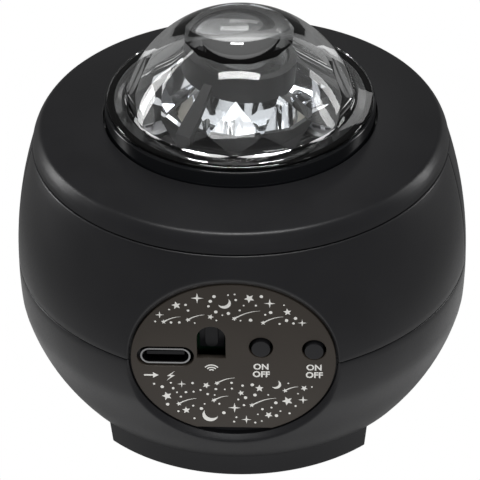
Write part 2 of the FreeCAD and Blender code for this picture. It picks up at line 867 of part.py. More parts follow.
def make_chassis():
    chassis = Piece("chassis")
    plate = [(0.0, 0.0, S.chassis_radius), (0.0, 0.0, S.chassis_bore)]
    chassis.discs("Pad", "XY", S.chassis_level, plate, S.chassis_thickness)
    clamp_outside = S.ring_radius + S.clamp_wall
    wall = [(0.0, 0.0, clamp_outside), (0.0, 0.0, S.ring_radius)]
    chassis.discs("Pad", "XY", chassis_top, wall, ring_bottom - chassis_top)
    legs = on_circle(S.leg_circle, LEG_ANGLES, S.leg_radius)
    chassis.discs("Pad", "XY", S.leg_bottom_level, legs, S.chassis_level - S.leg_bottom_level)
    posts = on_circle(S.deck_post_circle, LEG_ANGLES, S.deck_post_radius)
    chassis.discs("Pad", "XY", chassis_top, posts, S.deck_level - chassis_top)
    pilots = on_circle(S.leg_circle, LEG_ANGLES, S.base_screw_radius + S.thread_clearance)
    chassis.discs("Pocket", "XY", S.leg_bottom_level, pilots, S.leg_pilot_depth, backwards=True)
    deck_pilots = on_circle(S.deck_post_circle, LEG_ANGLES, S.small_screw_radius + S.thread_clearance)
    chassis.discs("Pocket", "XY", S.deck_level, deck_pilots, S.deck_screw_length)
    cover_holes = on_circle(S.cover_post_circle, COVER_POST_ANGLES, S.small_screw_radius + S.hole_clearance)
    chassis.discs("Pocket", "XY", chassis_top, cover_holes, S.chassis_thickness)
    motor_x, motor_y = motor_place()
    boss_hole = [(motor_x, motor_y, S.motor_boss_radius + S.hole_clearance)]
    chassis.discs("Pocket", "XY", chassis_top, boss_hole, S.chassis_thickness)
    screw_holes = [(x, y, S.small_screw_radius + S.hole_clearance) for x, y in motor_screw_places()]
    chassis.discs("Pocket", "XY", chassis_top, screw_holes, S.chassis_thickness)


def centre_distance():
    """The distance from the rotor's axis to the motor's axis."""
    return S.gear_module * (S.gear_teeth + S.pinion_teeth) / 2 + S.centre_play


def motor_place():
    """The motor's axis on the chassis."""
    return polar(centre_distance(), S.motor_angle.value)


def motor_screw_places():
    """The two screws beside the motor's boss, square to the line of centres."""
    x, y = motor_place()
    across_x, across_y = polar(S.motor_screw_spacing, S.motor_angle.value + 90.0)
    return [(x + across_x, y + across_y), (x - across_x, y - across_y)]


def make_motor():
    x, y = motor_place()
    motor = Piece("motor")
    bottom = S.chassis_level - S.motor_height
    motor.discs("Pad", "XY", bottom, [(x, y, S.motor_radius)], S.motor_height)
    motor.discs("Pad", "XY", S.chassis_level, [(x, y, S.motor_boss_radius)], S.motor_boss_height)
    motor.discs("Pad", "XY", bottom - S.motor_cap_height, [(x, y, S.motor_cap_radius)], S.motor_cap_height)
    bore = [(x, y, S.shaft_radius + S.shaft_clearance)]
    boss_top = S.chassis_level + S.motor_boss_height
    motor.discs("Pocket", "XY", boss_top, bore, S.motor_boss_height + S.shaft_bore_depth)
    pilots = [(px, py, S.small_screw_radius + S.thread_clearance) for px, py in motor_screw_places()]
    motor.discs("Pocket", "XY", S.chassis_level, pilots, S.motor_pilot_depth)
    shaft = Piece("motor_shaft")
    low = S.chassis_level - S.shaft_depth
    shaft.discs("Pad", "XY", low, [(x, y, S.shaft_radius)], S.gear_level + S.gear_thickness - low)


def involute_angle(base, radius):
    """The angle by which an involute has unwound from its base circle at a radius, in radians."""
    roll = math.sqrt(max(radius**2 - base**2, 0.0)) / base
    return roll - math.atan(roll)


def spur_gear(teeth, module, play, bore, phase, thickness):
    """A spur gear with involute flanks, one tooth centred at the phase angle in degrees."""
    pitch = module * teeth / 2
    base = pitch * math.cos(math.radians(PRESSURE_ANGLE))
    tip = pitch + module
    foot = pitch - ROOT_DEPTH * module
    start = max(foot, base)
    half_tooth = math.pi / (2 * teeth) - play / (2 * pitch)
    at_pitch = involute_angle(base, pitch)
    edges = []
    step = 2 * math.pi / teeth

    def spot(radius, angle):
        return FreeCAD.Vector(radius * math.cos(angle), radius * math.sin(angle), 0)

    def half_width(radius):
        return half_tooth + at_pitch - involute_angle(base, radius)

    middle = (start + tip) / 2
    for number in range(int(teeth)):
        axis = math.radians(phase) + number * step
        rise = [spot(radius, axis - half_width(radius)) for radius in (start, middle, tip)]
        fall = [spot(radius, axis + half_width(radius)) for radius in (tip, middle, start)]
        root_start = spot(foot, axis - half_width(start))
        root_end = spot(foot, axis + half_width(start))
        next_root = spot(foot, axis + step - half_width(start))
        valley = spot(foot, axis + step / 2)
        if start > foot:
            edges.append(Part.LineSegment(root_start, rise[0]))
        edges.append(Part.Arc(*rise))
        edges.append(Part.Arc(rise[2], spot(tip, axis), fall[0]))
        edges.append(Part.Arc(*fall))
        if start > foot:
            edges.append(Part.LineSegment(fall[2], root_end))
        edges.append(Part.Arc(root_end, valley, next_root))
    outline = Part.Wire([edge.toShape() for edge in edges])
    rim = Part.Face(outline).extrude(FreeCAD.Vector(0, 0, thickness))
    return rim.cut(Part.makeCylinder(bore, thickness))


def make_gears():
    """The ring gear that carries the crystal, and the motor's pinion, in mesh at rest."""
    thickness = S.gear_thickness.value
    level = FreeCAD.Vector(0, 0, S.gear_level.value)
    lift = FreeCAD.Vector(0, 0, thickness)
    angle = S.motor_angle.value
    teeth = S.gear_teeth.value
    pinion_teeth = S.pinion_teeth.value
    module = S.gear_module.value
    play = S.tooth_play.value
    bore = S.sleeve_radius.value + S.sleeve_clearance.value
    rim = spur_gear(teeth, module, play, bore, angle, thickness)
    cup_radius = S.rotor_radius.value + S.cup_wall.value
    cup_base = level + lift
    floor = S.cup_floor.value
    cup = Part.makeCylinder(cup_radius, S.cup_height.value, cup_base)
    cup = cup.cut(Part.makeCylinder(bore, floor, cup_base))
    pocket_base = cup_base + FreeCAD.Vector(0, 0, floor)
    pocket_radius = S.rotor_radius.value + S.thread_clearance.value
    cup = cup.cut(Part.makeCylinder(pocket_radius, S.cup_height.value, pocket_base))
    keep("rotor_gear", rim.translated(level).fuse(cup).removeSplitter())
    x, y = motor_place()
    bore = S.shaft_radius.value + S.shaft_grip.value
    phase = angle + 180.0 + 180.0 / pinion_teeth
    pinion = spur_gear(pinion_teeth, module, play, bore, phase, thickness)
    keep("motor_pinion", pinion.translated(level + FreeCAD.Vector(x.value, y.value, 0)))


def make_sleeve():
    sleeve = Piece("rotor_sleeve")
    inside = S.sleeve_radius - S.sleeve_wall
    flange_top_level = chassis_top + S.sleeve_flange_thickness
    sleeve.turn([
        (inside, chassis_top),
        (S.sleeve_flange_radius, chassis_top),
        (S.sleeve_flange_radius, flange_top_level),
        (S.sleeve_radius, flange_top_level),
        (S.sleeve_radius, S.sleeve_top_level),
        (inside, S.sleeve_top_level),
    ])


def make_crystal():
    """The clear fluted crystal that turns over the lights."""
    cup_floor_level = S.gear_level + S.gear_thickness + S.cup_floor
    base = cup_floor_level.value
    hollow_top = (cup_floor_level + S.rotor_hollow_depth).value
    hollow = S.rotor_hollow_radius.value
    radius = S.rotor_radius.value
    top = S.rotor_top_level.value
    profile = [
        (0, hollow_top),
        (hollow, hollow_top),
        (hollow, base),
        (radius, base),
        (radius, S.rotor_straight_level.value),
        (S.rotor_top_radius.value, top),
        (0, top),
    ]
    points = [FreeCAD.Vector(x, 0, z) for x, z in profile]
    face = Part.Face(Part.makePolygon(points + points[:1]))
    solid = face.revolve(FreeCAD.Vector(), FreeCAD.Vector(0, 0, 1), 360)
    flute_radius = S.rotor_flute_radius.value
    flute_bottom = (S.gear_level + S.gear_thickness + S.cup_height + S.rotor_flute_rise).value
    count = whole(S.rotor_flutes)
    flutes = []
    for number in range(count):
        x, y = polar(radius + flute_radius / 3, 360.0 * number / count)
        flutes.append(Part.makeCylinder(flute_radius, top, FreeCAD.Vector(x, y, flute_bottom)))
    keep("crystal_rotor", solid.cut(flutes))


def make_optic_deck():
    deck = Piece("optic_deck")
    outside = S.ring_radius - S.ring_wall - S.deck_clearance
    deck.discs("Pad", "XY", S.deck_level, [(0.0, 0.0, outside), (0.0, 0.0, S.deck_bore)], S.deck_thickness)
    holes = on_circle(S.deck_post_circle, LEG_ANGLES, S.small_screw_radius + S.hole_clearance)
    deck.discs("Pocket", "XY", deck_top, holes, S.deck_thickness)


def polygon_ring(count, radius, level):
    """A flat closed polygon about the axis."""
    corners = [FreeCAD.Vector(*polar(radius, 360.0 * (step + 0.5) / count), level) for step in range(count)]
    return Part.makePolygon(corners + corners[:1])


def make_reflector():
    """The bright faceted bowl round the crystal."""
    count = whole(S.reflector_facets)
    low = deck_top.value
    high = low + S.reflector_height.value
    wall = S.reflector_wall.value
    base = S.reflector_base_radius.value
    top = S.reflector_top_radius.value
    outer_rings = [polygon_ring(count, base + wall, low), polygon_ring(count, top + wall, high)]
    inner_rings = [polygon_ring(count, base, low), polygon_ring(count, top, high)]
    outside = Part.makeLoft(outer_rings, True, True)
    inside = Part.makeLoft(inner_rings, True, True)
    keep("reflector", outside.cut(inside))


def make_lens_holder():
    """The tilted lens barrel on its three arms, and the lens in it."""
    holder = Piece("lens_holder")
    foot_level = deck_top
    thickness = S.arm_thickness
    barrel_middle = S.barrel_level + S.barrel_height / 2
    foot_inside = S.arm_foot_radius - S.arm_foot_reach
    foot_outside = S.arm_foot_radius + S.arm_foot_reach
    foot_top = foot_level + S.arm_foot_height
    inner_end = S.barrel_radius - S.arm_overlap
    arm = [
        (foot_inside, foot_level),
        (foot_outside, foot_level),
        (foot_outside, foot_top),
        (S.arm_foot_radius, foot_top),
        (S.arm_knee_radius, S.arm_knee_level),
        (inner_end, barrel_middle + thickness / 2),
        (inner_end, barrel_middle - thickness / 2),
        (S.arm_knee_radius - thickness, S.arm_knee_level - S.arm_overlap),
        (S.arm_foot_radius - thickness, foot_top),
        (foot_inside, foot_top),
    ]
    made = holder.turn(arm, angle=S.arm_span, midplane=True)
    pattern = holder.body.newObject("PartDesign::PolarPattern", "Arms")
    pattern.Originals = [made]
    pattern.Axis = (next(f for f in holder.body.Origin.OriginFeatures if f.Role == "Z_Axis"), [""])
    pattern.Occurrences = 3
    pattern.Angle = 360
    holder.body.Tip = pattern
    doc.recompute()
    inside = S.barrel_radius - S.barrel_wall
    ledge = inside - S.lens_seat
    half = S.barrel_height / 2
    seat = half - S.lens_thickness - S.lens_drop
    barrel = holder.outline(holder.sketch("XZ"), [
        (ledge, -half),
        (S.barrel_radius, -half),
        (S.barrel_radius, half),
        (inside, half),
        (inside, seat),
        (ledge, seat),
    ])
    tilt = FreeCAD.Rotation(FreeCAD.Vector(0, 0, 1), -S.barrel_tilt.value)
    barrel.AttachmentOffset = FreeCAD.Placement(FreeCAD.Vector(0, barrel_middle.value, 0), tilt)
    barrel.setExpression("AttachmentOffset.Base.y", barrel_middle.formula)
    holder.feature("Revolution", barrel, Angle=360.0)

    lens = Piece("projection_lens")
    rim = inside - S.lap_clearance
    crown = S.lens_crown
    curve = (rim * rim + crown * crown) / (crown * 2)
    profile = lens.outline(lens.sketch("XZ"), [
        (0.0, seat),
        (rim, seat),
        (rim, seat + S.lens_thickness),
        Arc((0.0, seat + S.lens_thickness + crown), curve, -1),
    ])
    profile.AttachmentOffset = FreeCAD.Placement(FreeCAD.Vector(0, barrel_middle.value, 0), tilt)
    profile.setExpression("AttachmentOffset.Base.y", barrel_middle.formula)
    lens.feature("Revolution", profile, Angle=360.0)


def make_lights():
    board = Piece("led_board")
    board.discs("Pad", "XY", chassis_top, [(0.0, 0.0, S.led_board_radius)], S.led_board_thickness)
    level = (chassis_top + S.led_board_thickness).value
    lights = []
    width = S.led_width.value
    places = [(0.0, 0.0)] + [polar(S.led_circle.value, 45.0 + 90.0 * step) for step in range(4)]
    for x, y in places:
        corner = FreeCAD.Vector(x - width / 2, y - width / 2, level)
        lights.append(Part.makeBox(width, width, S.led_height.value, corner))
    keep("leds", Part.makeCompound(lights))


def screw(radius, length, head, head_height):
    """A pan-head screw that points along +Z, its head's seat at the origin."""
    shank = Part.makeCylinder(radius, length)
    body = Part.makeCylinder(head, head_height, FreeCAD.Vector(0, 0, -head_height))
    body = body.makeChamfer(head_height * 0.4, [body.Edges[2]])
    slot = head * 0.3
    depth = head_height * 0.5
    for long, wide in ((head * 1.2, slot), (slot, head * 1.2)):
        corner = FreeCAD.Vector(-long / 2, -wide / 2, -head_height)
        body = body.cut(Part.makeBox(long, wide, depth, corner))
    return shank.fuse(body).removeSplitter()


def screw_group(name, places, level, radius, length, head, head_height, direction):
    """Equal screws as separate solids in one node."""
    one = screw(radius.value, length.value, head.value, head_height.value)
    turn = FreeCAD.Rotation(FreeCAD.Vector(0, 0, 1), direction)
    copies = []
    for place in places:
        x, y = (float(number) for number in place[:2])
        spot = FreeCAD.Vector(x, y, float(level))
        copies.append(one.copy().transformGeometry(FreeCAD.Placement(spot, turn).toMatrix()))
    keep(name, Part.makeCompound(copies))


def make_screws():
    up = FreeCAD.Vector(0, 0, 1)
    down = FreeCAD.Vector(0, 0, -1)
    small = (S.small_screw_head, S.small_screw_head_height)
    legs = on_circle(S.leg_circle, LEG_ANGLES, 0.0)
    seat = S.base_screw_level + S.base_screw_head_height
    screw_group("base_screws", legs, seat, S.base_screw_radius, S.base_screw_length,
                S.base_screw_head, S.base_screw_head_height, up)
    posts = on_circle(S.cover_post_circle, COVER_POST_ANGLES, 0.0)
    thin = S.small_screw_radius
    screw_group("cover_screws", posts, S.chassis_level, thin, S.cover_screw_length, *small, up)
    decks = on_circle(S.deck_post_circle, LEG_ANGLES, 0.0)
    screw_group("deck_screws", decks, deck_top, thin, S.deck_screw_length, *small, down)
    motors = motor_screw_places()
    screw_group("motor_screws", motors, chassis_top, thin, S.motor_screw_length, *small, down)
    back = board_face - S.board_thickness
    forward = FreeCAD.Vector(0, -1, 0)
    rises = (S.standoff_rise, -S.standoff_rise)
    one = screw(S.small_screw_radius.value, S.board_screw_length.value, *(size.value for size in small))
    turn = FreeCAD.Rotation(up, forward)
    copies = []
    for rise in rises:
        spot = FreeCAD.Vector(0, -back.value, (S.panel_level + rise).value)
        copies.append(one.copy().transformGeometry(FreeCAD.Placement(spot, turn).toMatrix()))
    keep("board_screws", Part.makeCompound(copies))


def check_all():
    """Stop if any object failed, or any node's shape is missing or unsound."""
    for item in doc.Objects:
        if "Invalid" in item.State or "Error" in item.State:
            raise RuntimeError(f"{item.Label} failed: {item.State}")
    for node in nodes:
        if node.Shape.isNull() or not node.Shape.isValid():
            raise RuntimeError(f"{node.Label} has no sound shape")


def main():
    for make in (
        make_non_slip_pad,
        make_foot,
        make_lower_bowl,
        make_rear_shell,
        make_front_shell,
        make_top_cover,
        make_dome_ring,
        make_dome,
        make_io_panel,
        make_main_board,
        make_usb_socket,
        make_ir_receiver,
        make_buttons,
        make_chassis,
        make_motor,
        make_gears,
        make_sleeve,
        make_crystal,
        make_optic_deck,
        make_reflector,
        make_lens_holder,
        make_lights,
        make_screws,
    ):
        make()
    doc.recompute()
    check_all()
    os.makedirs("parts", exist_ok=True)
    for node in nodes:
        node.Shape.exportStep(f"parts/{node.Label}.step")


main()
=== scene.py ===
"""Looks of the star night light projector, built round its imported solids."""

import logging
import math
import random
from collections.abc import Callable, Sequence
from dataclasses import dataclass, field
from enum import Enum

import bmesh
import bpy
from mathutils import Euler, Matrix, Vector


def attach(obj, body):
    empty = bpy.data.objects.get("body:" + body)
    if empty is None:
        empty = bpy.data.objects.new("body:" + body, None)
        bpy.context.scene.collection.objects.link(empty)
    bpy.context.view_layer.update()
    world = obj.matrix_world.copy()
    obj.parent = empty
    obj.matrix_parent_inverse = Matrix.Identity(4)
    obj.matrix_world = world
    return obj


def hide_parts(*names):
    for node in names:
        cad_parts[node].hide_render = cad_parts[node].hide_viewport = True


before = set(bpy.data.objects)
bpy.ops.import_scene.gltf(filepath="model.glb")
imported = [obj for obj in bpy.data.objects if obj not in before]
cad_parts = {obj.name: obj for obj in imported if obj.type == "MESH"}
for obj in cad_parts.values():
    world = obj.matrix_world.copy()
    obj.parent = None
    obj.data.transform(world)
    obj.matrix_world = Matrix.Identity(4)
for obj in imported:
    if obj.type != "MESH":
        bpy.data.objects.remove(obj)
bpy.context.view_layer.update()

LOG = logging.getLogger("projector")
MM = 0.001
Point = tuple[float, float]
Stamp = tuple[float, float, float, float]


class Body(Enum):
    """The rigid bodies that pieces ride on."""

    HOUSING = "housing"
    ROTOR = "rotor"
    MOTOR = "motor_rotor"
    LEFT_BUTTON = "left_button"
    RIGHT_BUTTON = "right_button"


def linear(hex_colour: str) -> tuple[float, float, float, float]:
    """Turn an sRGB hex colour into linear values.

    Args:
        hex_colour: Six hex digits, such as "1f1f21".

    Returns:
        Red, green, blue and an alpha of one.
    """
    parts = [int(hex_colour[start:start + 2], 16) / 255 for start in (0, 2, 4)]
    values = [part / 12.92 if part <= 0.04045 else ((part + 0.055) / 1.055) ** 2.4 for part in parts]
    return values[0], values[1], values[2], 1.0


def add_node(tree: bpy.types.NodeTree, kind: str, links: dict | None = None, **settings) -> bpy.types.Node:
    """Add a node to a tree, set it up and link its inputs.

    Args:
        tree: The node tree.
        kind: The node's type name.
        links: Input name or index to an output socket or a value.
        settings: Attributes of the node.

    Returns:
        The new node.
    """
    node = tree.nodes.new(kind)
    for name, setting in settings.items():
        setattr(node, name, setting)
    for name, source in (links or {}).items():
        if isinstance(source, bpy.types.NodeSocket):
            tree.links.new(source, node.inputs[name])
        else:
            node.inputs[name].default_value = source
    return node


def add_object(name: str, data: bpy.types.ID) -> bpy.types.Object:
    """Put an object with this data in the scene and return it."""
    holder = bpy.data.objects.new(name, data)
    bpy.context.scene.collection.objects.link(holder)
    return holder


def fresh_tree(owner: bpy.types.Material | bpy.types.World) -> bpy.types.NodeTree:
    """Give a new material or world an empty node tree and return the tree."""
    owner.use_nodes = True
    owner.node_tree.nodes.clear()
    return owner.node_tree


@dataclass(frozen=True)
class Surface:
    """What every finish has: the material's name and its colour."""

    name: str
    colour: str

    def material(self) -> bpy.types.Material:
        """Build the material once, and return the same one after that.

        Returns:
            The material.
        """
        found = bpy.data.materials.get(self.name)
        if found:
            return found
        material = bpy.data.materials.new(self.name)
        tree = fresh_tree(material)
        place = add_node(tree, "ShaderNodeTexCoord").outputs["Object"]
        shader = add_node(tree, "ShaderNodeBsdfPrincipled", self.inputs(tree, place))
        add_node(tree, "ShaderNodeOutputMaterial", {"Surface": shader.outputs[0]})
        return material

    def inputs(self, tree: bpy.types.NodeTree, place: bpy.types.NodeSocket) -> dict:
        """The shader's inputs, from nodes that read the place on the piece."""
        raise NotImplementedError


@dataclass(frozen=True)
class Finish(Surface):
    """A moulded, plated or turned surface with a fine grain in its gloss and relief."""

    roughness: float
    metallic: float = 0.0
    ior: float = 1.5
    grain_size: float = 0.4 * MM
    grain_gloss: float = 0.06
    grain_relief: float = 0.0
    patch_size: float = 9.0 * MM
    tone_spread: float = 0.06

    def inputs(self, tree: bpy.types.NodeTree, place: bpy.types.NodeSocket) -> dict:
        """The shader's inputs: a colour and a gloss that vary a little, and a fine relief."""
        fine = self._noise(tree, place, self.grain_size, 3.0)
        broad = self._noise(tree, place, self.patch_size, 2.0)
        mixed = add_node(tree, "ShaderNodeMath", {0: fine, 1: broad}, operation="ADD").outputs[0]
        gloss = add_node(tree, "ShaderNodeMapRange", {
            "Value": mixed,
            "From Min": 0.6,
            "From Max": 1.4,
            "To Min": max(self.roughness - self.grain_gloss, 0.0),
            "To Max": self.roughness + self.grain_gloss,
        }).outputs[0]
        tone = add_node(tree, "ShaderNodeMapRange", {
            "Value": broad,
            "From Min": 0.3,
            "From Max": 0.7,
            "To Min": 1 - self.tone_spread,
            "To Max": 1 + self.tone_spread,
        }).outputs[0]
        base = linear(self.colour)[:3]
        colour = add_node(tree, "ShaderNodeVectorMath", {0: base, 3: tone}, operation="SCALE").outputs[0]
        found = {"Base Color": colour, "Roughness": gloss, "Metallic": self.metallic}
        if not self.metallic:
            found["IOR"] = self.ior
        if self.grain_relief:
            found["Normal"] = add_node(tree, "ShaderNodeBump", {
                "Height": fine, "Distance": self.grain_size * 0.5, "Strength": self.grain_relief,
            }).outputs[0]
        return found

    @staticmethod
    def _noise(tree: bpy.types.NodeTree, place: bpy.types.NodeSocket, size: float,
               detail: float) -> bpy.types.NodeSocket:
        """Add noise whose features have a real size, and return its socket."""
        return add_node(
            tree, "ShaderNodeTexNoise", {"Vector": place, "Scale": 1 / size, "Detail": detail}
        ).outputs["Fac"]


@dataclass(frozen=True)
class ClearFinish(Surface):
    """A clear polished plastic: PMMA bends light by 1.49, and its tint is next to nothing."""

    ior: float = 1.49
    roughness: float = 0.0
    haze: float = 0.02
    haze_size: float = 6 * MM

    def inputs(self, tree: bpy.types.NodeTree, place: bpy.types.NodeSocket) -> dict:
        """The shader's inputs: full transmission with a trace of haze in the polish."""
        cloud = add_node(
            tree, "ShaderNodeTexNoise", {"Vector": place, "Scale": 1 / self.haze_size}
        ).outputs["Fac"]
        gloss = add_node(tree, "ShaderNodeMapRange", {
            "Value": cloud, "To Min": self.roughness, "To Max": self.roughness + self.haze,
        }).outputs[0]
        colour = linear(self.colour)
        return {"Base Color": colour, "Roughness": gloss, "IOR": self.ior, "Transmission Weight": 1.0}


# Injection-moulded ABS with a fine spark-eroded mould texture: near black, with broad soft highlights.
SATIN_ABS = Finish("satin_black_abs", "1b1b1d", 0.36, grain_size=0.35 * MM, grain_relief=0.05)
# ABS from a polished mould: near black with sharp reflections.
GLOSS_ABS = Finish("gloss_black_abs", "0e0f11", 0.12, grain_gloss=0.02)
# Compression-moulded rubber: matt, with no highlight to speak of.
PAD_RUBBER = Finish("matt_rubber", "161616", 0.75, grain_relief=0.2)
# Polycarbonate plate with a warm grey finish: a soft sheen that is broken up a little.
PANEL_PLATE = Finish("warm_grey_plate", "37322d", 0.42, grain_size=0.2 * MM, grain_gloss=0.08)
# Screen-printed ink: an even, slightly chalky white.
PANEL_INK = Finish("white_screen_ink", "e4e3df", 0.55, grain_gloss=0.03)
# Steel strip, nickel plated and then formed: bright, with slightly blurred reflections.
BRIGHT_STEEL = Finish("nickel_plated_steel", "cfcfd0", 0.22, metallic=1.0, grain_size=0.15 * MM)
# Steel wire, headed and zinc plated: greyer and duller than nickel.
SCREW_STEEL = Finish("zinc_plated_steel", "a9a9ab", 0.32, metallic=1.0, grain_size=0.2 * MM)
# Moulded plastic with an evaporated aluminium film: a clean mirror.
MIRROR_PLATING = Finish("vacuum_plated_mirror", "e6e7ea", 0.05, metallic=1.0, grain_gloss=0.02)
# Filled epoxy, transfer moulded: black and fairly smooth.
RESIN = Finish("black_epoxy_resin", "121214", 0.3, grain_size=0.2 * MM)
# Moulded resin for the button stems: dark grey with a dull sheen.
STEM_RESIN = Finish("dark_grey_resin", "1f1f21", 0.4, grain_size=0.2 * MM)
# Plain moulded ABS for the inner frame: black and matt, so that it stays in the dark.
INNER_ABS = Finish("matt_black_abs", "0f0f10", 0.45, grain_size=0.3 * MM)
# Unfilled moulded nylon: off-white and waxy.
NYLON = Finish("natural_nylon", "dedad0", 0.45, grain_size=0.3 * MM)
# Solder mask on a glass-fibre board: green with a soft gloss, its colour darkened to paint the shade that falls
# on the board inside the housing, seen through the receiver's window.
SHADED_SOLDER_MASK = Finish("green_solder_mask", "0f2b1c", 0.35, grain_size=0.2 * MM)
# Solder mask on an aluminium board: white with a soft gloss.
WHITE_MASK = Finish("white_solder_mask", "dcdcd8", 0.4, grain_size=0.2 * MM)
# Silicone filled with phosphor: an even yellow.
PHOSPHOR = Finish("led_phosphor", "d8c04e", 0.35, grain_size=0.1 * MM)
# Injection-moulded PMMA from polished moulds: clear, with sharp reflections on every facet.
CLEAR_DOME = ClearFinish("clear_polished_pmma", "fdfefe")
CLEAR_LENS = ClearFinish("clear_lens_pmma", "fbfdff")
CLEAR_CRYSTAL = ClearFinish("clear_crystal_pmma", "f6faff", roughness=0.01)

NODE_FINISHES: dict[str, Surface] = {
    "non_slip_pad": PAD_RUBBER,
    "foot": SATIN_ABS,
    "lower_bowl": SATIN_ABS,
    "rear_shell": SATIN_ABS,
    "front_shell": SATIN_ABS,
    "top_cover": SATIN_ABS,
    "dome_ring": GLOSS_ABS,
    "dome": CLEAR_DOME,
    "io_panel": PANEL_PLATE,
    # The board's colour is darkened by painted shade.
    "main_board": SHADED_SOLDER_MASK,
    "usb_shell": BRIGHT_STEEL,
    "usb_insulator": RESIN,
    "ir_receiver": RESIN,
    "left_switch": RESIN,
    "right_switch": RESIN,
    "left_button": STEM_RESIN,
    "right_button": STEM_RESIN,
    "chassis": INNER_ABS,
    "motor": BRIGHT_STEEL,
    "motor_shaft": SCREW_STEEL,
    "rotor_gear": NYLON,
    "motor_pinion": NYLON,
    "rotor_sleeve": INNER_ABS,
    "crystal_rotor": CLEAR_CRYSTAL,
    "optic_deck": INNER_ABS,
    "reflector": MIRROR_PLATING,
    "lens_holder": INNER_ABS,
    "projection_lens": CLEAR_LENS,
    "led_board": WHITE_MASK,
    "leds": PHOSPHOR,
    "base_screws": SCREW_STEEL,
    "cover_screws": SCREW_STEEL,
    "deck_screws": SCREW_STEEL,
    "motor_screws": SCREW_STEEL,
    "board_screws": SCREW_STEEL,
}


def dress_nodes() -> None:
    """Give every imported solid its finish."""
    for name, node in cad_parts.items():
        material = NODE_FINISHES[name].material()
        node.data.materials.clear()
        node.data.materials.append(material)


def add_piece(name: str, mesh: bpy.types.Mesh, finish: Surface, body: Body,
              replaced: Sequence[str] = ()) -> None:
    """Put a finished mesh in the scene as one piece.

    Args:
        name: The piece's name.
        mesh: Its mesh, in the frame's own place.
        finish: Its finish.
        body: The body that it rides on.
        replaced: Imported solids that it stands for.
    """
    piece = add_object(name, mesh)
    mesh.materials.clear()
    mesh.materials.append(finish.material())
    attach(piece, body.value)
    if replaced:
        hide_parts(*replaced)
    LOG.info("piece %s: %d faces", name, len(mesh.polygons))


def mesh_from(bm: bmesh.types.BMesh, name: str, sharp_degrees: float = 30.0) -> bpy.types.Mesh:
    """Turn a bmesh into a mesh, smooth but for its sharp edges.

    Args:
        bm: The bmesh, which is freed.
        name: The mesh's name.
        sharp_degrees: The angle from which an edge is sharp.

    Returns:
        The mesh.
    """
    bmesh.ops.remove_doubles(bm, verts=bm.verts, dist=1e-7)
    limit = math.radians(sharp_degrees)
    for face in bm.faces:
        face.smooth = True
    for edge in bm.edges:
        if len(edge.link_faces) == 2 and edge.calc_face_angle(0.0) > limit:
            edge.smooth = False
    mesh = bpy.data.meshes.new(name)
    bm.to_mesh(mesh)
    bm.free()
    return mesh


def arc_points(centre: Point, radius: float, start: float, end: float, steps: int) -> list[Point]:
    """Points on an arc, angles in degrees from +r towards +z."""
    turns = [math.radians(start + (end - start) * step / steps) for step in range(steps + 1)]
    return [(centre[0] + radius * math.cos(turn), centre[1] + radius * math.sin(turn)) for turn in turns]


def rounded_profile(corners: Sequence[tuple[float, float, float]], steps: int = 5) -> list[Point]:
    """A closed profile whose corners are rounded.

    Args:
        corners: Radius, height and rounding of each corner, in order.
        steps: Spans in each rounding.

    Returns:
        The profile's points.
    """
    points: list[Point] = []
    count = len(corners)
    for number, (x, z, size) in enumerate(corners):
        here = Vector((x, z))
        before = Vector(corners[number - 1][:2]) - here
        after = Vector(corners[(number + 1) % count][:2]) - here
        size = min(size, before.length * 0.49, after.length * 0.49)
        if size <= 0:
            points.append((x, z))
            continue
        first = here + before.normalized() * size
        last = here + after.normalized() * size
        for step in range(steps + 1):
            share = step / steps
            point = first.lerp(here, share).lerp(here.lerp(last, share), share)
            points.append((point.x, point.y))
    return points


def lathe(profile: Sequence[Point], steps: int = 160, closed: bool = True) -> bmesh.types.BMesh:
    """Turn a profile of radii and heights round the lamp's axis.

    Args:
        profile: Its points, in order so that the solid lies to their left.
        steps: Spans round the axis.
        closed: Whether the profile closes on itself.

    Returns:
        The turned surface.
    """
    bm = bmesh.new()
    rings = []
    for radius, height in profile:
        if radius < 1e-9:
            rings.append([bm.verts.new((0, 0, height))])
            continue
        turns = [2 * math.pi * step / steps for step in range(steps)]
        rings.append([bm.verts.new((radius * math.cos(t), radius * math.sin(t), height)) for t in turns])
    spans = len(rings) if closed else len(rings) - 1
    for number in range(spans):
        lower = rings[number]
        upper = rings[(number + 1) % len(rings)]
        for step in range(steps):
            after = (step + 1) % steps
            corners = [lower[step % len(lower)], lower[after % len(lower)],
                       upper[after % len(upper)], upper[step % len(upper)]]
            unique = list(dict.fromkeys(corners))
            if len(unique) > 2:
                bm.faces.new(unique)
    return bm


@dataclass(frozen=True)
class ArcWall:
    """A wall's outer radius by height, as one arc through two points."""

    low_radius: float
    low: float
    high_radius: float
    high: float
    curve: float

    def radius(self, height: float) -> float:
        """The wall's radius at a height."""
        start = Vector((self.low_radius, self.low))
        end = Vector((self.high_radius, self.high))
        chord = end - start
        inward = Vector((-chord.y, chord.x)).normalized()
        reach = math.sqrt(self.curve**2 - (chord.length / 2) ** 2)
        centre = (start + end) / 2 + inward * reach
        return centre.x + math.sqrt(max(self.curve**2 - (height - centre.y) ** 2, 0.0))


def polar_place(radius: float, degrees: float, height: float) -> tuple[float, float, float]:
    """The place at a radius and an angle from +X."""
    turn = math.radians(degrees)
    return radius * math.cos(turn), radius * math.sin(turn), height


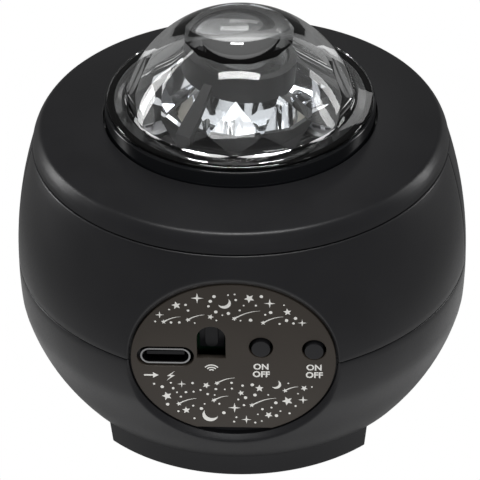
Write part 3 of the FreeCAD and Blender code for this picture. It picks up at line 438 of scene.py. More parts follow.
def flat_curve(outlines: Sequence[Sequence[Point]], half_depth: float, bevel: float) -> bpy.types.Object:
    """A filled flat curve from outlines in millimetres; an outline inside another is a hole.

    Args:
        outlines: The closed outlines.
        half_depth: Half the plate's depth, without its bevels.
        bevel: The bevel's size.

    Returns:
        The curve's object.
    """
    curve = bpy.data.curves.new("flat", "CURVE")
    curve.dimensions = "2D"
    curve.fill_mode = "BOTH"
    curve.extrude = half_depth
    curve.bevel_depth = bevel
    curve.bevel_resolution = 2
    curve.offset = -bevel
    for outline in outlines:
        spline = curve.splines.new("POLY")
        spline.points.add(len(outline) - 1)
        for point, (x, y) in zip(spline.points, outline):
            point.co = (x * MM, y * MM, 0.0, 1.0)
        spline.use_cyclic_u = True
    return add_object("flat", curve)


def cut(mesh: bpy.types.Mesh, cutters: Sequence[bpy.types.Mesh]) -> bpy.types.Mesh:
    """Cut meshes out of a mesh.

    Args:
        mesh: What is cut.
        cutters: The closed meshes to take away.

    Returns:
        The cut mesh.
    """
    holder = add_object("cut", mesh)
    tools = []
    for cutter in cutters:
        tool = add_object("cutter", cutter)
        modifier = holder.modifiers.new("cut", "BOOLEAN")
        modifier.operation = "DIFFERENCE"
        modifier.solver = "EXACT"
        modifier.object = tool
        tools.append(tool)
    name = mesh.name
    done = bake(holder, name + "_cut")
    for tool in tools:
        bpy.data.objects.remove(tool)
    bm = bmesh.new()
    bm.from_mesh(done)
    return mesh_from(bm, name)


def fine_steps(size: float, count: int = 4) -> list[float]:
    """Distances from an edge at which a rounding of one size is drawn."""
    return [size * (1 - math.cos(math.pi / 2 * step / count)) for step in range(count + 1)]


def edge_drop(distance: float, size: float) -> float:
    """How far a rounded edge falls away at a distance from it."""
    if distance >= size:
        return 0.0
    return size - math.sqrt(max(size**2 - (size - distance) ** 2, 0.0))


def spread(start: float, end: float, step: float) -> list[float]:
    """Evenly spaced values from start to end, both included, about a step apart."""
    count = max(1, round(abs(end - start) / step))
    return [start + (end - start) * number / count for number in range(count + 1)]


@dataclass
class Recess:
    """The oval recess that holds the control panel, seen from -Y, with a flare that opens outward."""

    level: float = 29.0 * MM
    half_width: float = 18.65 * MM
    half_height: float = 16.55 * MM
    face: float = 36.5 * MM
    seat: float = 35.3 * MM
    ledge: float = 2.0 * MM
    ledge_depth: float = 1.0 * MM
    flare: float = 0.8
    lip: float = 0.9 * MM
    lip_depth_share: float = 0.4
    lip_reach: float = 1.3
    lip_reach_limit: float = 0.6
    lip_steps: int = 6
    loops: int = 7
    loop_crowding: float = 1.4
    fine_band: float = 0.6 * MM
    settling_rounds: int = 12
    reach_angle: float = math.radians(42)


@dataclass
class ShellPart:
    """One part of the round housing, as a rounded sheet that gets its wall at the end."""

    wall_at: Callable[[float], float]
    low: float
    high: float
    start: float
    end: float
    low_round: float
    high_round: float
    seam_round: float
    thickness: float = 1.9 * MM
    floor_rings: Sequence[float] = ()
    recess: Recess | None = None
    opens_down: bool = False
    limit: float = 0.0
    column_step: float = math.radians(2.0)
    row_step: float = 1.3 * MM
    bm: bmesh.types.BMesh = field(default_factory=bmesh.new)

    @property
    def whole_turn(self) -> bool:
        """Whether the part goes all the way round."""
        return self.end - self.start > 2 * math.pi - 1e-6

    def radius(self, turn: float, height: float) -> float:
        """The outer radius at a place, with every edge rounded."""
        radius = self.wall_at(height)
        drop = edge_drop(height - self.low, self.low_round) + edge_drop(self.high - height, self.high_round)
        if not self.whole_turn:
            drop += edge_drop(radius * (turn - self.start), self.seam_round)
            drop += edge_drop(radius * (self.end - turn), self.seam_round)
        return radius - drop

    def spot(self, turn: float, height: float) -> Vector:
        """The place at a turn from -Y and a height."""
        radius = self.radius(turn, height)
        return Vector((radius * math.sin(turn), -radius * math.cos(turn), height))

    def front_spot(self, x: float, height: float) -> Vector:
        """The place on the panel's side at an x and a height."""
        turn = math.asin(x / self.wall_at(height))
        radius = self.radius(turn, height)
        return Vector((x, -math.sqrt(radius**2 - x**2), height))

    def rows(self) -> list[float]:
        """The heights of the sheet's rows, close together at its two edges."""
        low = [self.low + step for step in fine_steps(self.low_round)] if self.low_round else [self.low]
        high = [self.high - step for step in fine_steps(self.high_round)] if self.high_round else [self.high]
        stops = [low[-1], high[-1]]
        if self.recess:
            stops.insert(1, self.limit)
        rows = low[:-1]
        for first, last in zip(stops, stops[1:]):
            rows += spread(first, last, self.row_step)[:-1]
        return rows + high[::-1]

    def columns(self) -> list[float]:
        """The turns of the sheet's columns, close together at its upright seams."""
        if self.whole_turn and not self.recess:
            return spread(self.start, self.end, self.column_step)
        fine = []
        if not self.whole_turn:
            fine = [step / self.wall_at(self.low) for step in fine_steps(self.seam_round)]
        low = [self.start + step for step in fine] or [self.start]
        high = [self.end - step for step in fine] or [self.end]
        stops = [low[-1], high[-1]]
        if self.recess:
            stops[1:1] = [-self.recess.reach_angle, self.recess.reach_angle]
        columns = low[:-1]
        for first, last in zip(stops, stops[1:]):
            columns += spread(first, last, self.column_step)[:-1]
        return columns + high[::-1]

    def _face(self, corners: Sequence[Vector]) -> None:
        """Add one face from its corners."""
        verts = [self.bm.verts.new(corner) for corner in corners]
        self.bm.faces.new(verts)

    def _in_patch(self, turn: float, height: float) -> bool:
        """Whether a cell's middle lies in the region round the recess."""
        if not self.recess or abs(turn) > self.recess.reach_angle:
            return False
        return height > self.limit if self.opens_down else height < self.limit

    def build(self, name: str) -> bpy.types.Mesh:
        """Build the sheet and give it its wall.

        Args:
            name: The mesh's name.

        Returns:
            The closed part's mesh.
        """
        rows = self.rows()
        columns = self.columns()
        for low, high in zip(rows, rows[1:]):
            for left, right in zip(columns, columns[1:]):
                if self._in_patch((left + right) / 2, (low + high) / 2):
                    continue
                places = ((left, low), (right, low), (right, high), (left, high))
                self._face([self.spot(turn, height) for turn, height in places])
        for outer, inner in zip(self.floor_rings, self.floor_rings[1:]):
            for left, right in zip(columns, columns[1:]):
                corners = [(outer, left), (outer, right), (inner, right), (inner, left)]
                places = [Vector((r * math.sin(t), -r * math.cos(t), self.low)) for r, t in corners]
                self._face(places if inner > 0 else places[:3])
        if self.recess:
            self._patch(rows, columns)
        bmesh.ops.remove_doubles(self.bm, verts=self.bm.verts, dist=1e-6)
        bmesh.ops.dissolve_degenerate(self.bm, edges=self.bm.edges, dist=1e-8)
        return self._thicken(name)

    def _patch(self, rows: Sequence[float], columns: Sequence[float]) -> None:
        """Join the sheet to the recess with loops that follow the oval, then turn them in over its lip."""
        recess = self.recess
        edge = self.high if self.opens_down else self.low
        sign = -1.0 if self.opens_down else 1.0
        if self.opens_down:
            near = [row for row in rows[::-1] if row >= self.limit - 1e-9]
        else:
            near = [row for row in rows if row <= self.limit + 1e-9]
        across = [turn for turn in columns if abs(turn) <= recess.reach_angle + 1e-9]
        border = [(-recess.reach_angle, height) for height in near]
        border += [(turn, self.limit) for turn in across[1:-1]]
        border += [(recess.reach_angle, height) for height in near[::-1]]
        outer = [Vector((self.wall_at(height) * math.sin(turn), height)) for turn, height in border]
        count = len(outer)
        fine = [abs(height - edge) for height in near if abs(height - edge) < recess.fine_band]
        turns = [math.asin((sign * (edge - recess.level) + step) / recess.half_height) for step in fine]
        rest = count - 2 * len(turns)
        span = math.pi - 2 * turns[-1]
        middle = [turns[-1] + span * (step + 1) / (rest + 1) for step in range(rest)]
        turns = turns + middle + [math.pi - turn for turn in turns[::-1]]

        def oval(extra: float | Sequence[float]) -> list[Vector]:
            """The oval's points at a distance outside it, one for each border point."""
            extras = extra if isinstance(extra, Sequence) else [extra] * count
            return [
                Vector((
                    -(recess.half_width + more) * math.cos(turn),
                    recess.level + sign * (recess.half_height + more) * math.sin(turn),
                ))
                for more, turn in zip(extras, turns)
            ]

        depths = [0.0] * count
        for _ in range(recess.settling_rounds):
            places = oval([recess.flare * depth for depth in depths])
            depths = [-self.front_spot(*place).y - recess.face for place in places]
        corners = [self.front_spot(*place) for place in oval([recess.flare * depth for depth in depths])]
        rounds = [min(recess.lip, recess.lip_depth_share * depth) for depth in depths]
        mouth = oval([recess.flare * depth + size for depth, size in zip(depths, rounds)])
        loops = []
        for step in range(recess.loops + 1):
            share = 1 - (1 - step / recess.loops) ** recess.loop_crowding
            loops.append([self.front_spot(*a.lerp(b, share)) for a, b in zip(outer, mouth)])
        base = [Vector((point.x, -recess.face, point.y)) for point in oval(0.0)]
        outside = loops[-1]
        inside = [
            corner.lerp(foot, min(
                size * recess.lip_reach / (corner - foot).length, recess.lip_reach_limit
            ))
            for corner, foot, size in zip(corners, base, rounds)
        ]
        for step in range(1, recess.lip_steps + 1):
            share = step / recess.lip_steps
            loops.append([
                a.lerp(b, share).lerp(b.lerp(c, share), share) for a, b, c in zip(outside, corners, inside)
            ])
        loops.append(base)
        loops.append([Vector((point.x, -recess.seat, point.z)) for point in base])
        ledge = oval(-recess.ledge)
        loops.append([Vector((point.x, -recess.seat, point.y)) for point in ledge])
        loops.append([Vector((point.x, -recess.seat + recess.ledge_depth, point.y)) for point in ledge])
        for first, second in zip(loops, loops[1:]):
            for number in range(count - 1):
                corners = [first[number], first[number + 1], second[number + 1], second[number]]
                self._face(corners[::-1] if not self.opens_down else corners)

    def _thicken(self, name: str) -> bpy.types.Mesh:
        """Give the sheet its wall on the inside and return the mesh."""
        bmesh.ops.recalc_face_normals(self.bm, faces=self.bm.faces)
        probe = max(self.bm.faces, key=lambda face: face.calc_center_median().xy.length)
        if probe.normal.dot(probe.calc_center_median()) < 0:
            bmesh.ops.reverse_faces(self.bm, faces=self.bm.faces)
        sheet = bpy.data.meshes.new(name + "_sheet")
        self.bm.to_mesh(sheet)
        self.bm.free()
        holder = add_object(name + "_sheet", sheet)
        solidify = holder.modifiers.new("wall", "SOLIDIFY")
        solidify.thickness = self.thickness
        solidify.offset = -1.0
        solidify.use_even_offset = True
        mesh = bake(holder, name)
        bm = bmesh.new()
        bm.from_mesh(mesh)
        bpy.data.meshes.remove(mesh)
        return mesh_from(bm, name, 32.0)


def bake(holder: bpy.types.Object, name: str) -> bpy.types.Mesh:
    """Apply an object's modifiers to a new mesh and remove the object.

    Args:
        holder: The object with live modifiers.
        name: The new mesh's name.

    Returns:
        The plain mesh.
    """
    graph = bpy.context.evaluated_depsgraph_get()
    mesh = bpy.data.meshes.new_from_object(holder.evaluated_get(graph))
    mesh.name = name
    old = holder.data
    bpy.data.objects.remove(holder)
    if isinstance(old, bpy.types.Mesh):
        bpy.data.meshes.remove(old)
    else:
        bpy.data.curves.remove(old)
    return mesh


@dataclass
class Housing:
    """The black shells, lid, collar and foot."""

    bowl_low: float = 5.0 * MM
    parting: float = 28.8 * MM
    parting_gap: float = 0.16 * MM
    shoulder: float = 52.3 * MM
    groove: float = 0.25 * MM
    seam_turn: float = math.radians(84)
    seam_gap: float = 0.2 * MM
    edge: float = 0.25 * MM
    fine_round: float = 0.2 * MM
    soft_round: float = 0.3 * MM
    turned_steps: int = 240

    belly_wall: ArcWall = ArcWall(33.5 * MM, 5.0 * MM, 41.15 * MM, 20.5 * MM, 39.0 * MM)
    rim_wall: ArcWall = ArcWall(41.15 * MM, 20.5 * MM, 41.5 * MM, 28.8 * MM, 76.0 * MM)
    upper_wall: ArcWall = ArcWall(41.5 * MM, 29.05 * MM, 37.85 * MM, 52.9 * MM, 80.0 * MM)
    bowl_patch_limit: float = 8.2 * MM
    upper_patch_limit: float = 50.2 * MM
    floor_ring_radii: Sequence[float] = (30.0 * MM, 20.0 * MM, 10.0 * MM, 0.0)

    cover_lip_inside: float = 34.6 * MM
    cover_lip_outside: float = 35.5 * MM
    cover_lip_drop: float = 1.8 * MM
    cover_shoulder: Sequence[tuple[float, float, float]] = (
        (37.85 * MM, 53.4 * MM, 0.4 * MM), (37.3 * MM, 54.9 * MM, 1.1 * MM), (36.45 * MM, 56.1 * MM, 0.6 * MM),
    )
    cover_opening: float = 24.85 * MM
    cover_top: float = 58.05 * MM
    cover_under: float = 56.0 * MM
    cover_flat_radius: float = 29.05 * MM
    cover_inner_corner: Point = (34.2 * MM, 54.0 * MM)

    collar_bore: float = 22.6 * MM
    collar_radius: float = 24.6 * MM
    collar_top: float = 60.9 * MM
    collar_outer_round: float = 0.35 * MM
    collar_inner_round: float = 0.15 * MM
    collar_flange_radius: float = 28.4 * MM
    collar_flange_low: float = 54.5 * MM
    collar_flange_top: float = 56.0 * MM
    collar_ledge_radius: float = 20.6 * MM
    collar_ledge_low: float = 55.8 * MM
    collar_ledge_top: float = 57.0 * MM

    foot_half_width: float = 23.7 * MM
    foot_radius: float = 33.4 * MM
    foot_bottom: float = 0.4 * MM
    foot_draft: float = 0.45 * MM
    foot_edge: float = 0.3 * MM
    foot_edge_steps: int = 5
    foot_arc_step: float = 1 / 32
    foot_side_step: float = 1 / 16
    foot_clearance: float = 0.005 * MM
    pad_inset: float = 3.0 * MM
    pad_top: float = 1.2 * MM
    screw_circle: float = 20.0 * MM
    screw_turns: Sequence[int] = (90, 210, 330)
    screw_hole: float = 3.05 * MM
    screw_hole_length: float = 2 * 3.3 * MM

    @staticmethod
    def _add_black(mesh: bpy.types.Mesh, name: str, node: str) -> None:
        """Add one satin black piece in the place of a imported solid."""
        add_piece(name, mesh, SATIN_ABS, Body.HOUSING, [node])

    def bowl_radius(self, height: float) -> float:
        """The bowl's outer radius at a height."""
        wall = self.belly_wall if height < self.belly_wall.high else self.rim_wall
        return wall.radius(height)

    def make_bowl(self) -> None:
        """Build the lower bowl with its floor and its half of the recess."""
        part = ShellPart(
            self.bowl_radius, self.bowl_low, self.parting, -math.pi, math.pi, self.edge, self.edge, 0.0,
            recess=Recess(), opens_down=True, limit=self.bowl_patch_limit,
            floor_rings=(self.belly_wall.low_radius - self.edge, *self.floor_ring_radii),
        )
        self._add_black(part.build("lower_bowl_shell"), "lower_bowl_shell", "lower_bowl")

    def make_upper_shells(self) -> None:
        """Build the panel-side shell with its half of the recess, and the plain one."""
        low = self.parting + self.parting_gap
        rounds = (self.edge, self.edge, self.edge)
        rear = ShellPart(
            self.upper_wall.radius, low, self.shoulder, -self.seam_turn, self.seam_turn, *rounds,
            recess=Recess(), limit=self.upper_patch_limit,
        )
        self._add_black(rear.build("rear_shell_panel_side"), "rear_shell_panel_side", "rear_shell")
        gap_turn = self.seam_gap / self.upper_wall.low_radius
        front = ShellPart(
            self.upper_wall.radius, low, self.shoulder,
            self.seam_turn + gap_turn, 2 * math.pi - self.seam_turn - gap_turn, *rounds,
        )
        self._add_black(front.build("front_shell_plain_side"), "front_shell_plain_side", "front_shell")

    def make_cover(self) -> None:
        """Build the conical lid with its bevelled shoulder."""
        low = self.shoulder + self.groove
        lip_low = low - self.cover_lip_drop
        corners = [
            (self.cover_lip_inside, lip_low, self.fine_round),
            (self.cover_lip_outside, lip_low, self.fine_round),
            (self.cover_lip_outside, low, 0.0),
            (self.upper_wall.radius(low), low, self.fine_round),
            *self.cover_shoulder,
            (self.cover_opening, self.cover_top, self.soft_round),
            (self.cover_opening, self.cover_under, 0.0),
            (self.cover_flat_radius, self.cover_under, self.soft_round),
            (*self.cover_inner_corner, self.soft_round),
        ]
        mesh = mesh_from(lathe(rounded_profile(corners), self.turned_steps), "top_cover_lid")
        self._add_black(mesh, "top_cover_lid", "top_cover")

    def make_collar(self) -> None:
        """Build the gloss collar that clamps the dome."""
        corners = [
            (self.collar_bore, self.collar_flange_low, self.fine_round),
            (self.collar_flange_radius, self.collar_flange_low, self.fine_round),
            (self.collar_flange_radius, self.collar_flange_top, self.fine_round),
            (self.collar_radius, self.collar_flange_top, 0.0),
            (self.collar_radius, self.collar_top, self.collar_outer_round),
            (self.collar_bore, self.collar_top, self.collar_inner_round),
            (self.collar_bore, self.collar_ledge_top, 0.0),
            (self.collar_ledge_radius, self.collar_ledge_top, self.fine_round),
            (self.collar_ledge_radius, self.collar_ledge_low, self.fine_round),
            (self.collar_bore, self.collar_ledge_low, 0.0),
        ]
        mesh = mesh_from(lathe(rounded_profile(corners), self.turned_steps), "gloss_collar")
        add_piece("gloss_collar", mesh, GLOSS_ABS, Body.HOUSING, ["dome_ring"])

    def foot_loop(self, inset: float, height: float) -> list[Vector]:
        """The foot's outline at an inset: two arcs and two flat sides between them."""
        radius = self.foot_radius - inset
        corner = math.asin((self.foot_half_width - inset) / radius)
        arc = [math.sin(corner * share) * radius for share in spread(-1.0, 1.0, self.foot_arc_step)]
        front = [Vector((x, -math.sqrt(radius**2 - x**2), height)) for x in arc]
        end = front[-1]
        shares = spread(0.0, 1.0, self.foot_side_step)[1:-1]
        half = front + [Vector((end.x, end.y * (1 - 2 * share), height)) for share in shares]
        return half + [Vector((-point.x, -point.y, height)) for point in half]

    def make_foot(self) -> None:
        """Build the foot with the shallow seat for its pad and the three screw holes."""
        edge = self.foot_edge
        steps = [(self.pad_inset, self.pad_top), (self.pad_inset, self.foot_bottom)]
        for step in range(self.foot_edge_steps + 1):
            turn = math.pi / 2 * step / self.foot_edge_steps
            rise = edge * (1 - math.cos(turn))
            steps.append((self.foot_draft + edge * (1 - math.sin(turn)), self.foot_bottom + rise))
        steps.append((0.0, self.bowl_low - self.foot_clearance))
        bm = bmesh.new()
        loops = [[bm.verts.new(point) for point in self.foot_loop(*place)] for place in steps]
        for lower, upper in zip(loops, loops[1:]):
            for number, vert in enumerate(lower):
                after = (number + 1) % len(lower)
                bm.faces.new([vert, lower[after], upper[after], upper[number]])
        bm.faces.new(loops[0][::-1])
        bm.faces.new(loops[-1])
        bmesh.ops.recalc_face_normals(bm, faces=bm.faces)
        mesh = mesh_from(bm, "foot_body")
        holes = []
        for turn in self.screw_turns:
            place = Matrix.Translation(Vector(polar_place(self.screw_circle, turn, 0.0)))
            cutter = bmesh.new()
            bmesh.ops.create_cone(cutter, cap_ends=True, segments=48, radius1=self.screw_hole,
                                  radius2=self.screw_hole, depth=self.screw_hole_length, matrix=place)
            holes.append(mesh_from(cutter, "hole"))
        self._add_black(cut(mesh, holes), "foot_body", "foot")

    def make(self) -> None:
        """Build every housing piece."""
        self.make_bowl()
        self.make_upper_shells()
        self.make_cover()
        self.make_collar()
        self.make_foot()


@dataclass
class Dome:
    """The clear dome: smooth outside, facets inside, a flange below."""

    centre: float = 55.8 * MM
    radius: float = 21.8 * MM
    wall: float = 1.6 * MM
    low: float = 60.9 * MM
    flange_radius: float = 24.2 * MM
    flange_thickness: float = 0.9 * MM
    facets: int = 12
    ring_heights: Sequence[float] = (0.42, 0.68, 0.88)
    steps: int = 192
    edge: float = 0.25 * MM
    fillet: float = 0.7 * MM
    facet_degrees: float = 12.0

    def profile(self) -> list[Point]:
        """The outside from the flange's lower edge up to the pole."""
        top = self.low + self.flange_thickness
        rim = self.flange_radius - self.edge
        points = [(rim, self.low)]
        points += arc_points((rim, self.low + self.edge), self.edge, -90, 0, 4)[1:]
        points += arc_points((rim, top - self.edge), self.edge, 0, 90, 4)
        height = top + self.fillet - self.centre
        reach = math.sqrt((self.radius + self.fillet) ** 2 - height**2)
        lean = math.degrees(math.atan2(height, reach))
        points += arc_points((reach, top + self.fillet), self.fillet, 270, 180 + lean, 6)
        points += arc_points((0.0, self.centre), self.radius, lean, 90, 48)[1:]
        return points

    def core_rings(self) -> list[list[Vector]]:
        """The hollow's rings of corners, each turned half a step."""
        inner = self.radius - self.wall
        heights = [self.low] + [self.centre + inner * share for share in self.ring_heights]
        rings = []
        for number, height in enumerate(heights):
            radius = math.sqrt(inner**2 - (height - self.centre) ** 2)
            shift = (number % 2) * math.pi / self.facets
            turns = [shift + 2 * math.pi * step / self.facets for step in range(self.facets)]
            rings.append([Vector((radius * math.cos(t), radius * math.sin(t), height)) for t in turns])
        return rings

    def make(self) -> None:
        """Build the dome as one closed solid."""
        profile = self.profile()
        profile[-1] = (0.0, profile[-1][1])
        bm = lathe(profile, self.steps, closed=False)
        bm.verts.ensure_lookup_table()
        outer = [bm.verts[number] for number in range(self.steps)]
        rings = [[bm.verts.new(point) for point in ring] for ring in self.core_rings()]
        share = self.steps // self.facets
        for step in range(self.facets):
            after = (step + 1) % self.facets
            run = [outer[(step * share + number) % self.steps] for number in range(share + 1)]
            bm.faces.new([rings[0][step], rings[0][after]] + run[::-1])
        for number, (lower, upper) in enumerate(zip(rings, rings[1:])):
            lead = number % 2
            for step in range(self.facets):
                after = (step + 1) % self.facets
                bm.faces.new([lower[after], lower[step], upper[(step + lead) % self.facets]])
                base = lower[(step + 1 - lead) % self.facets]
                bm.faces.new([base, upper[step], upper[after]])
        bm.faces.new(rings[-1][::-1])
        bmesh.ops.recalc_face_normals(bm, faces=bm.faces)
        mesh = mesh_from(bm, "dome_cap", self.facet_degrees)
        add_piece("dome_cap", mesh, CLEAR_DOME, Body.HOUSING, ["dome"])


@dataclass
class Motif:
    """One printed motif: its outline and the places, sizes and turns at which it is printed."""

    outline: Sequence[Point]
    places: Sequence[Stamp]


@dataclass
class ControlPanel:
    """The oval plate, its holes and its white print, drawn in millimetres from the plate's centre."""

    level: float = 29.0 * MM
    half_width: float = 18.3 * MM
    half_height: float = 16.2 * MM
    flat_drop: float = 15.05 * MM
    face: float = 36.5 * MM
    thickness: float = 1.2 * MM
    bevel: float = 0.12 * MM
    ink: float = 0.03 * MM
    port: Point = (-12.1, 0.5)
    port_half: Point = (5.1, 2.1)
    window: tuple[float, float, float, float] = (-3.9, 2.55, 0.3, 7.1)
    buttons: Sequence[Point] = ((4.95, 2.75), (14.4, 2.4))
    button_hole: float = 2.15

    words: Sequence[str] = ("ON", "OFF")
    word_size: float = 1.75 * MM
    word_weight: float = 0.05 * MM
    word_drop: float = 2.0
    word_line: float = 1.65

    star_waist: float = 0.45
    sparkle_waist: float = 0.22
    horn_height: float = 0.3
    hollow_height: float = 0.55
    star_places: Sequence[Stamp] = (
        (-9.9, 11.7, 0.85, 0.2), (3.0, 13.4, 0.95, 0.5), (9.7, 10.6, 0.75, 0.1), (-3.9, 9.3, 0.6, 0.9),
        (-12.0, -8.2, 0.95, 0.3), (-4.9, -5.7, 0.7, 0.8), (4.6, -6.2, 0.8, 0.0), (9.6, -8.9, 1.0, 0.4),
        (6.2, -12.1, 0.75, 0.6), (-8.6, -11.3, 0.75, 0.1), (12.6, -6.0, 0.65, 0.7), (1.3, -7.3, 0.6, 0.3),
    )
    sparkle_places: Sequence[Stamp] = (
        (-6.2, 13.3, 1.15, 0.0), (6.6, 12.4, 1.0, 0.0), (-12.9, 9.6, 0.8, 0.0), (12.3, 8.3, 0.8, 0.0),
        (0.1, -10.6, 1.1, 0.0), (12.4, -8.6, 0.9, 0.0), (-9.3, -5.5, 0.8, 0.0), (2.2, -13.2, 0.9, 0.0),
    )
    moon_places: Sequence[Stamp] = ((-1.4, 12.3, 1.15, 0.6), (-4.3, -12.3, 1.4, -0.5), (7.6, -5.3, 0.9, 0.9))
    trail_starts: Sequence[tuple[float, float, float]] = (
        (-12.2, 8.1, 3.0), (-7.9, 8.6, 3.0), (0.3, 9.0, 4.6), (5.4, 8.2, 3.6), (-9.9, -9.9, 3.2),
        (-3.6, -9.0, 2.6), (3.2, -10.0, 4.4), (9.2, -6.6, 2.4), (-3.0, -5.2, 3.2),
    )
    trail_half: float = 0.13
    trail_tip_half: float = 0.015
    trail_star: float = 0.5
    trail_star_turn: float = 0.4
    trail_clearance: float = 0.2

    dot_seed: int = 11
    dot_bands: Sequence[tuple[float, float, int]] = ((7.9, 14.4, 30), (-14.2, -4.9, 46))
    dot_span: Point = (-15.6, 14.6)
    dot_field: Point = (16.6, 14.6)
    dot_sizes: Sequence[float] = (0.16, 0.2, 0.24, 0.32)
    dot_gap: float = 0.62
    dot_room: float = 0.45
    dot_tries: int = 4000

    bolt_place: Point = (-11.3, -3.6)
    bolt: Sequence[Point] = ((0.9, 1.0), (-0.6, -0.15), (0.1, -0.2), (-0.7, -1.2), (0.8, 0.0), (0.1, 0.1))
    arrow: Sequence[Point] = (
        (-16.0, -3.45), (-14.4, -3.45), (-14.4, -3.0), (-13.4, -3.6),
        (-14.4, -4.2), (-14.4, -3.75), (-16.0, -3.75),
    )
    wave_place: Point = (-3.9, -2.7)
    wave_radii: Sequence[float] = (0.5, 1.0, 1.5)
    wave_half: float = 0.12

    @staticmethod
    def pointed_outline(points: int, waist: float) -> list[Point]:
        """The outline of a star whose points reach to one and whose notches reach to its waist."""
        outline = []
        for number in range(2 * points):
            turn = math.pi / 2 + math.pi * number / points
            reach = waist if number % 2 else 1.0
            outline.append((reach * math.cos(turn), reach * math.sin(turn)))
        return outline

    def moon_outline(self) -> list[Point]:
        """A crescent's outline: a disc of radius one, hollowed by a circle through its two horns."""
        horn = math.degrees(math.acos(self.horn_height))
        outline = arc_points((0.0, 0.0), 1.0, 90 - horn, 90 + horn - 360, 28)
        x, z = outline[-1]
        reach = math.hypot(x, z - self.hollow_height)
        lean = math.degrees(math.atan2(z - self.hollow_height, x))
        return outline + arc_points((0.0, self.hollow_height), reach, lean, -180 - lean, 20)[1:-1]

    @staticmethod
    def trail_rise(length: float, share: float) -> float:
        """How far a trail has risen at a share of its length."""
        return length * (0.72 * share - 0.34 * share**2)

    def outline(self) -> list[Point]:
        """The plate's outline: an oval with a short flat below."""
        start = -math.asin(self.flat_drop / self.half_height)
        turns = spread(start, math.pi - start, math.radians(2))
        return [
            (self.half_width / MM * math.cos(turn), self.half_height / MM * math.sin(turn)) for turn in turns
        ]

    def holes(self) -> list[list[Point]]:
        """The outlines of the port's, the receiver's and the buttons' holes."""
        x, z = self.port
        half_width, half_height = self.port_half
        reach = half_width - half_height
        port = arc_points((x + reach, z), half_height, -90, 90, 16)
        port += arc_points((x - reach, z), half_height, 90, 270, 16)
        x, half, bottom, top = self.window
        window = [(x - half, bottom), (x + half, bottom)] + arc_points((x, top - half), half, 0, 180, 24)
        return [port, window] + [arc_points(place, self.button_hole, 0, 360, 40)[:-1] for place in self.buttons]

    def upright(self, depth: float) -> Matrix:
        """The turn that stands a flat shape up facing -Y at a depth."""
        return Matrix.Translation((0, -depth, self.level)) @ Matrix.Rotation(math.pi / 2, 4, "X")

    def ink_place(self) -> Matrix:
        """The turn that stands a flat print up on the plate's face."""
        return self.upright(self.face + self.ink / 2)

    @staticmethod
    def _add_print(mesh: bpy.types.Mesh, name: str) -> None:
        """Add one piece of the white print."""
        add_piece(name, mesh, PANEL_INK, Body.HOUSING)

    def make_plate(self) -> None:
        """Build the plate from its outlines, with a fine bevel on every edge."""
        curve = flat_curve([self.outline()] + self.holes(), self.thickness / 2 - self.bevel, self.bevel)
        mesh = bake(curve, "control_plate")
        mesh.transform(self.upright(self.face - self.thickness / 2))
        add_piece("control_plate", mesh, PANEL_PLATE, Body.HOUSING, ["io_panel"])

    def scatter_dots(self, taken: Sequence[tuple[float, float, float]]) -> list[Stamp]:
        """Set small dots at random above and below the controls.

        Args:
            taken: Places that the dots keep clear of, each with its size.

        Returns:
            The dots' places.
        """
        chance = random.Random(self.dot_seed)
        taken = list(taken)
        dots = []
        for low, high, wanted in self.dot_bands:
            tries = 0
            while wanted and tries < self.dot_tries:
                tries += 1
                x = chance.uniform(*self.dot_span)
                z = chance.uniform(low, high)
                inside = (x / self.dot_field[0]) ** 2 + (z / self.dot_field[1]) ** 2 < 1
                clear = all(math.hypot(x - a, z - b) > self.dot_gap + size for a, b, size in taken)
                if inside and clear:
                    taken.append((x, z, self.dot_room))
                    dots.append((x, z, chance.choice(self.dot_sizes), 0.0))
                    wanted -= 1
        return dots

    def motifs(self) -> dict[str, Motif]:
        """The printed motifs and their layout."""
        stars = list(self.star_places)
        for number, (x, z, _) in enumerate(self.trail_starts):
            stars.append((x, z, self.trail_star, self.trail_star_turn * number))
        taken = [place[:3] for group in (stars, self.sparkle_places, self.moon_places) for place in group]
        for x, z, length in self.trail_starts:
            for share in spread(0.0, 1.0, 0.2):
                taken.append((x + length * share, z + self.trail_rise(length, share), self.trail_clearance))
        disc = arc_points((0, 0), 1.0, 0, 360, 12)[:-1]
        return {
            "star": Motif(self.pointed_outline(5, self.star_waist), stars),
            "sparkle": Motif(self.pointed_outline(4, self.sparkle_waist), self.sparkle_places),
            "moon": Motif(self.moon_outline(), self.moon_places),
            "dot": Motif(disc, self.scatter_dots(taken)),
        }

    def streaks(self) -> list[list[Point]]:
        """Curved trails that taper as they rise from a small star."""
        shapes = []
        for x, z, length in self.trail_starts:
            upper = []
            lower = []
            for share in spread(0.0, 1.0, 1 / 14):
                along = x + length * share
                height = z + self.trail_rise(length, share)
                half = self.trail_half * (1 - share) + self.trail_tip_half
                upper.append((along, height + half))
                lower.append((along, height - half))
            shapes.append(upper + lower[::-1])
        return shapes

    def signs(self) -> list[list[Point]]:
        """Plain signs under the port and the receiver: an inlet arrow with a bolt, and three waves."""
        left, level = self.bolt_place
        shapes = [[(left + x, level + z) for x, z in self.bolt], list(self.arrow)]
        for radius in self.wave_radii:
            outer = arc_points(self.wave_place, radius + self.wave_half, 40, 140, 10)
            inner = arc_points(self.wave_place, radius - self.wave_half, 140, 40, 10)
            shapes.append(outer + inner)
        return shapes

    def make_words(self) -> None:
        """Print ON and OFF under each button."""
        for side, (x, _) in zip(("left", "right"), self.buttons):
            for number, word in enumerate(self.words):
                text = bpy.data.curves.new(word, "FONT")
                text.body = word
                text.align_x = "CENTER"
                text.size = self.word_size
                text.offset = self.word_weight
                text.extrude = self.ink / 2
                text.resolution_u = 3
                name = f"print_{word.lower()}_{side}"
                mesh = bake(add_object(word, text), name)
                drop = -(self.word_drop + self.word_line * number) * MM
                mesh.transform(self.ink_place() @ Matrix.Translation((x * MM, drop, 0)))
                self._add_print(mesh, name)

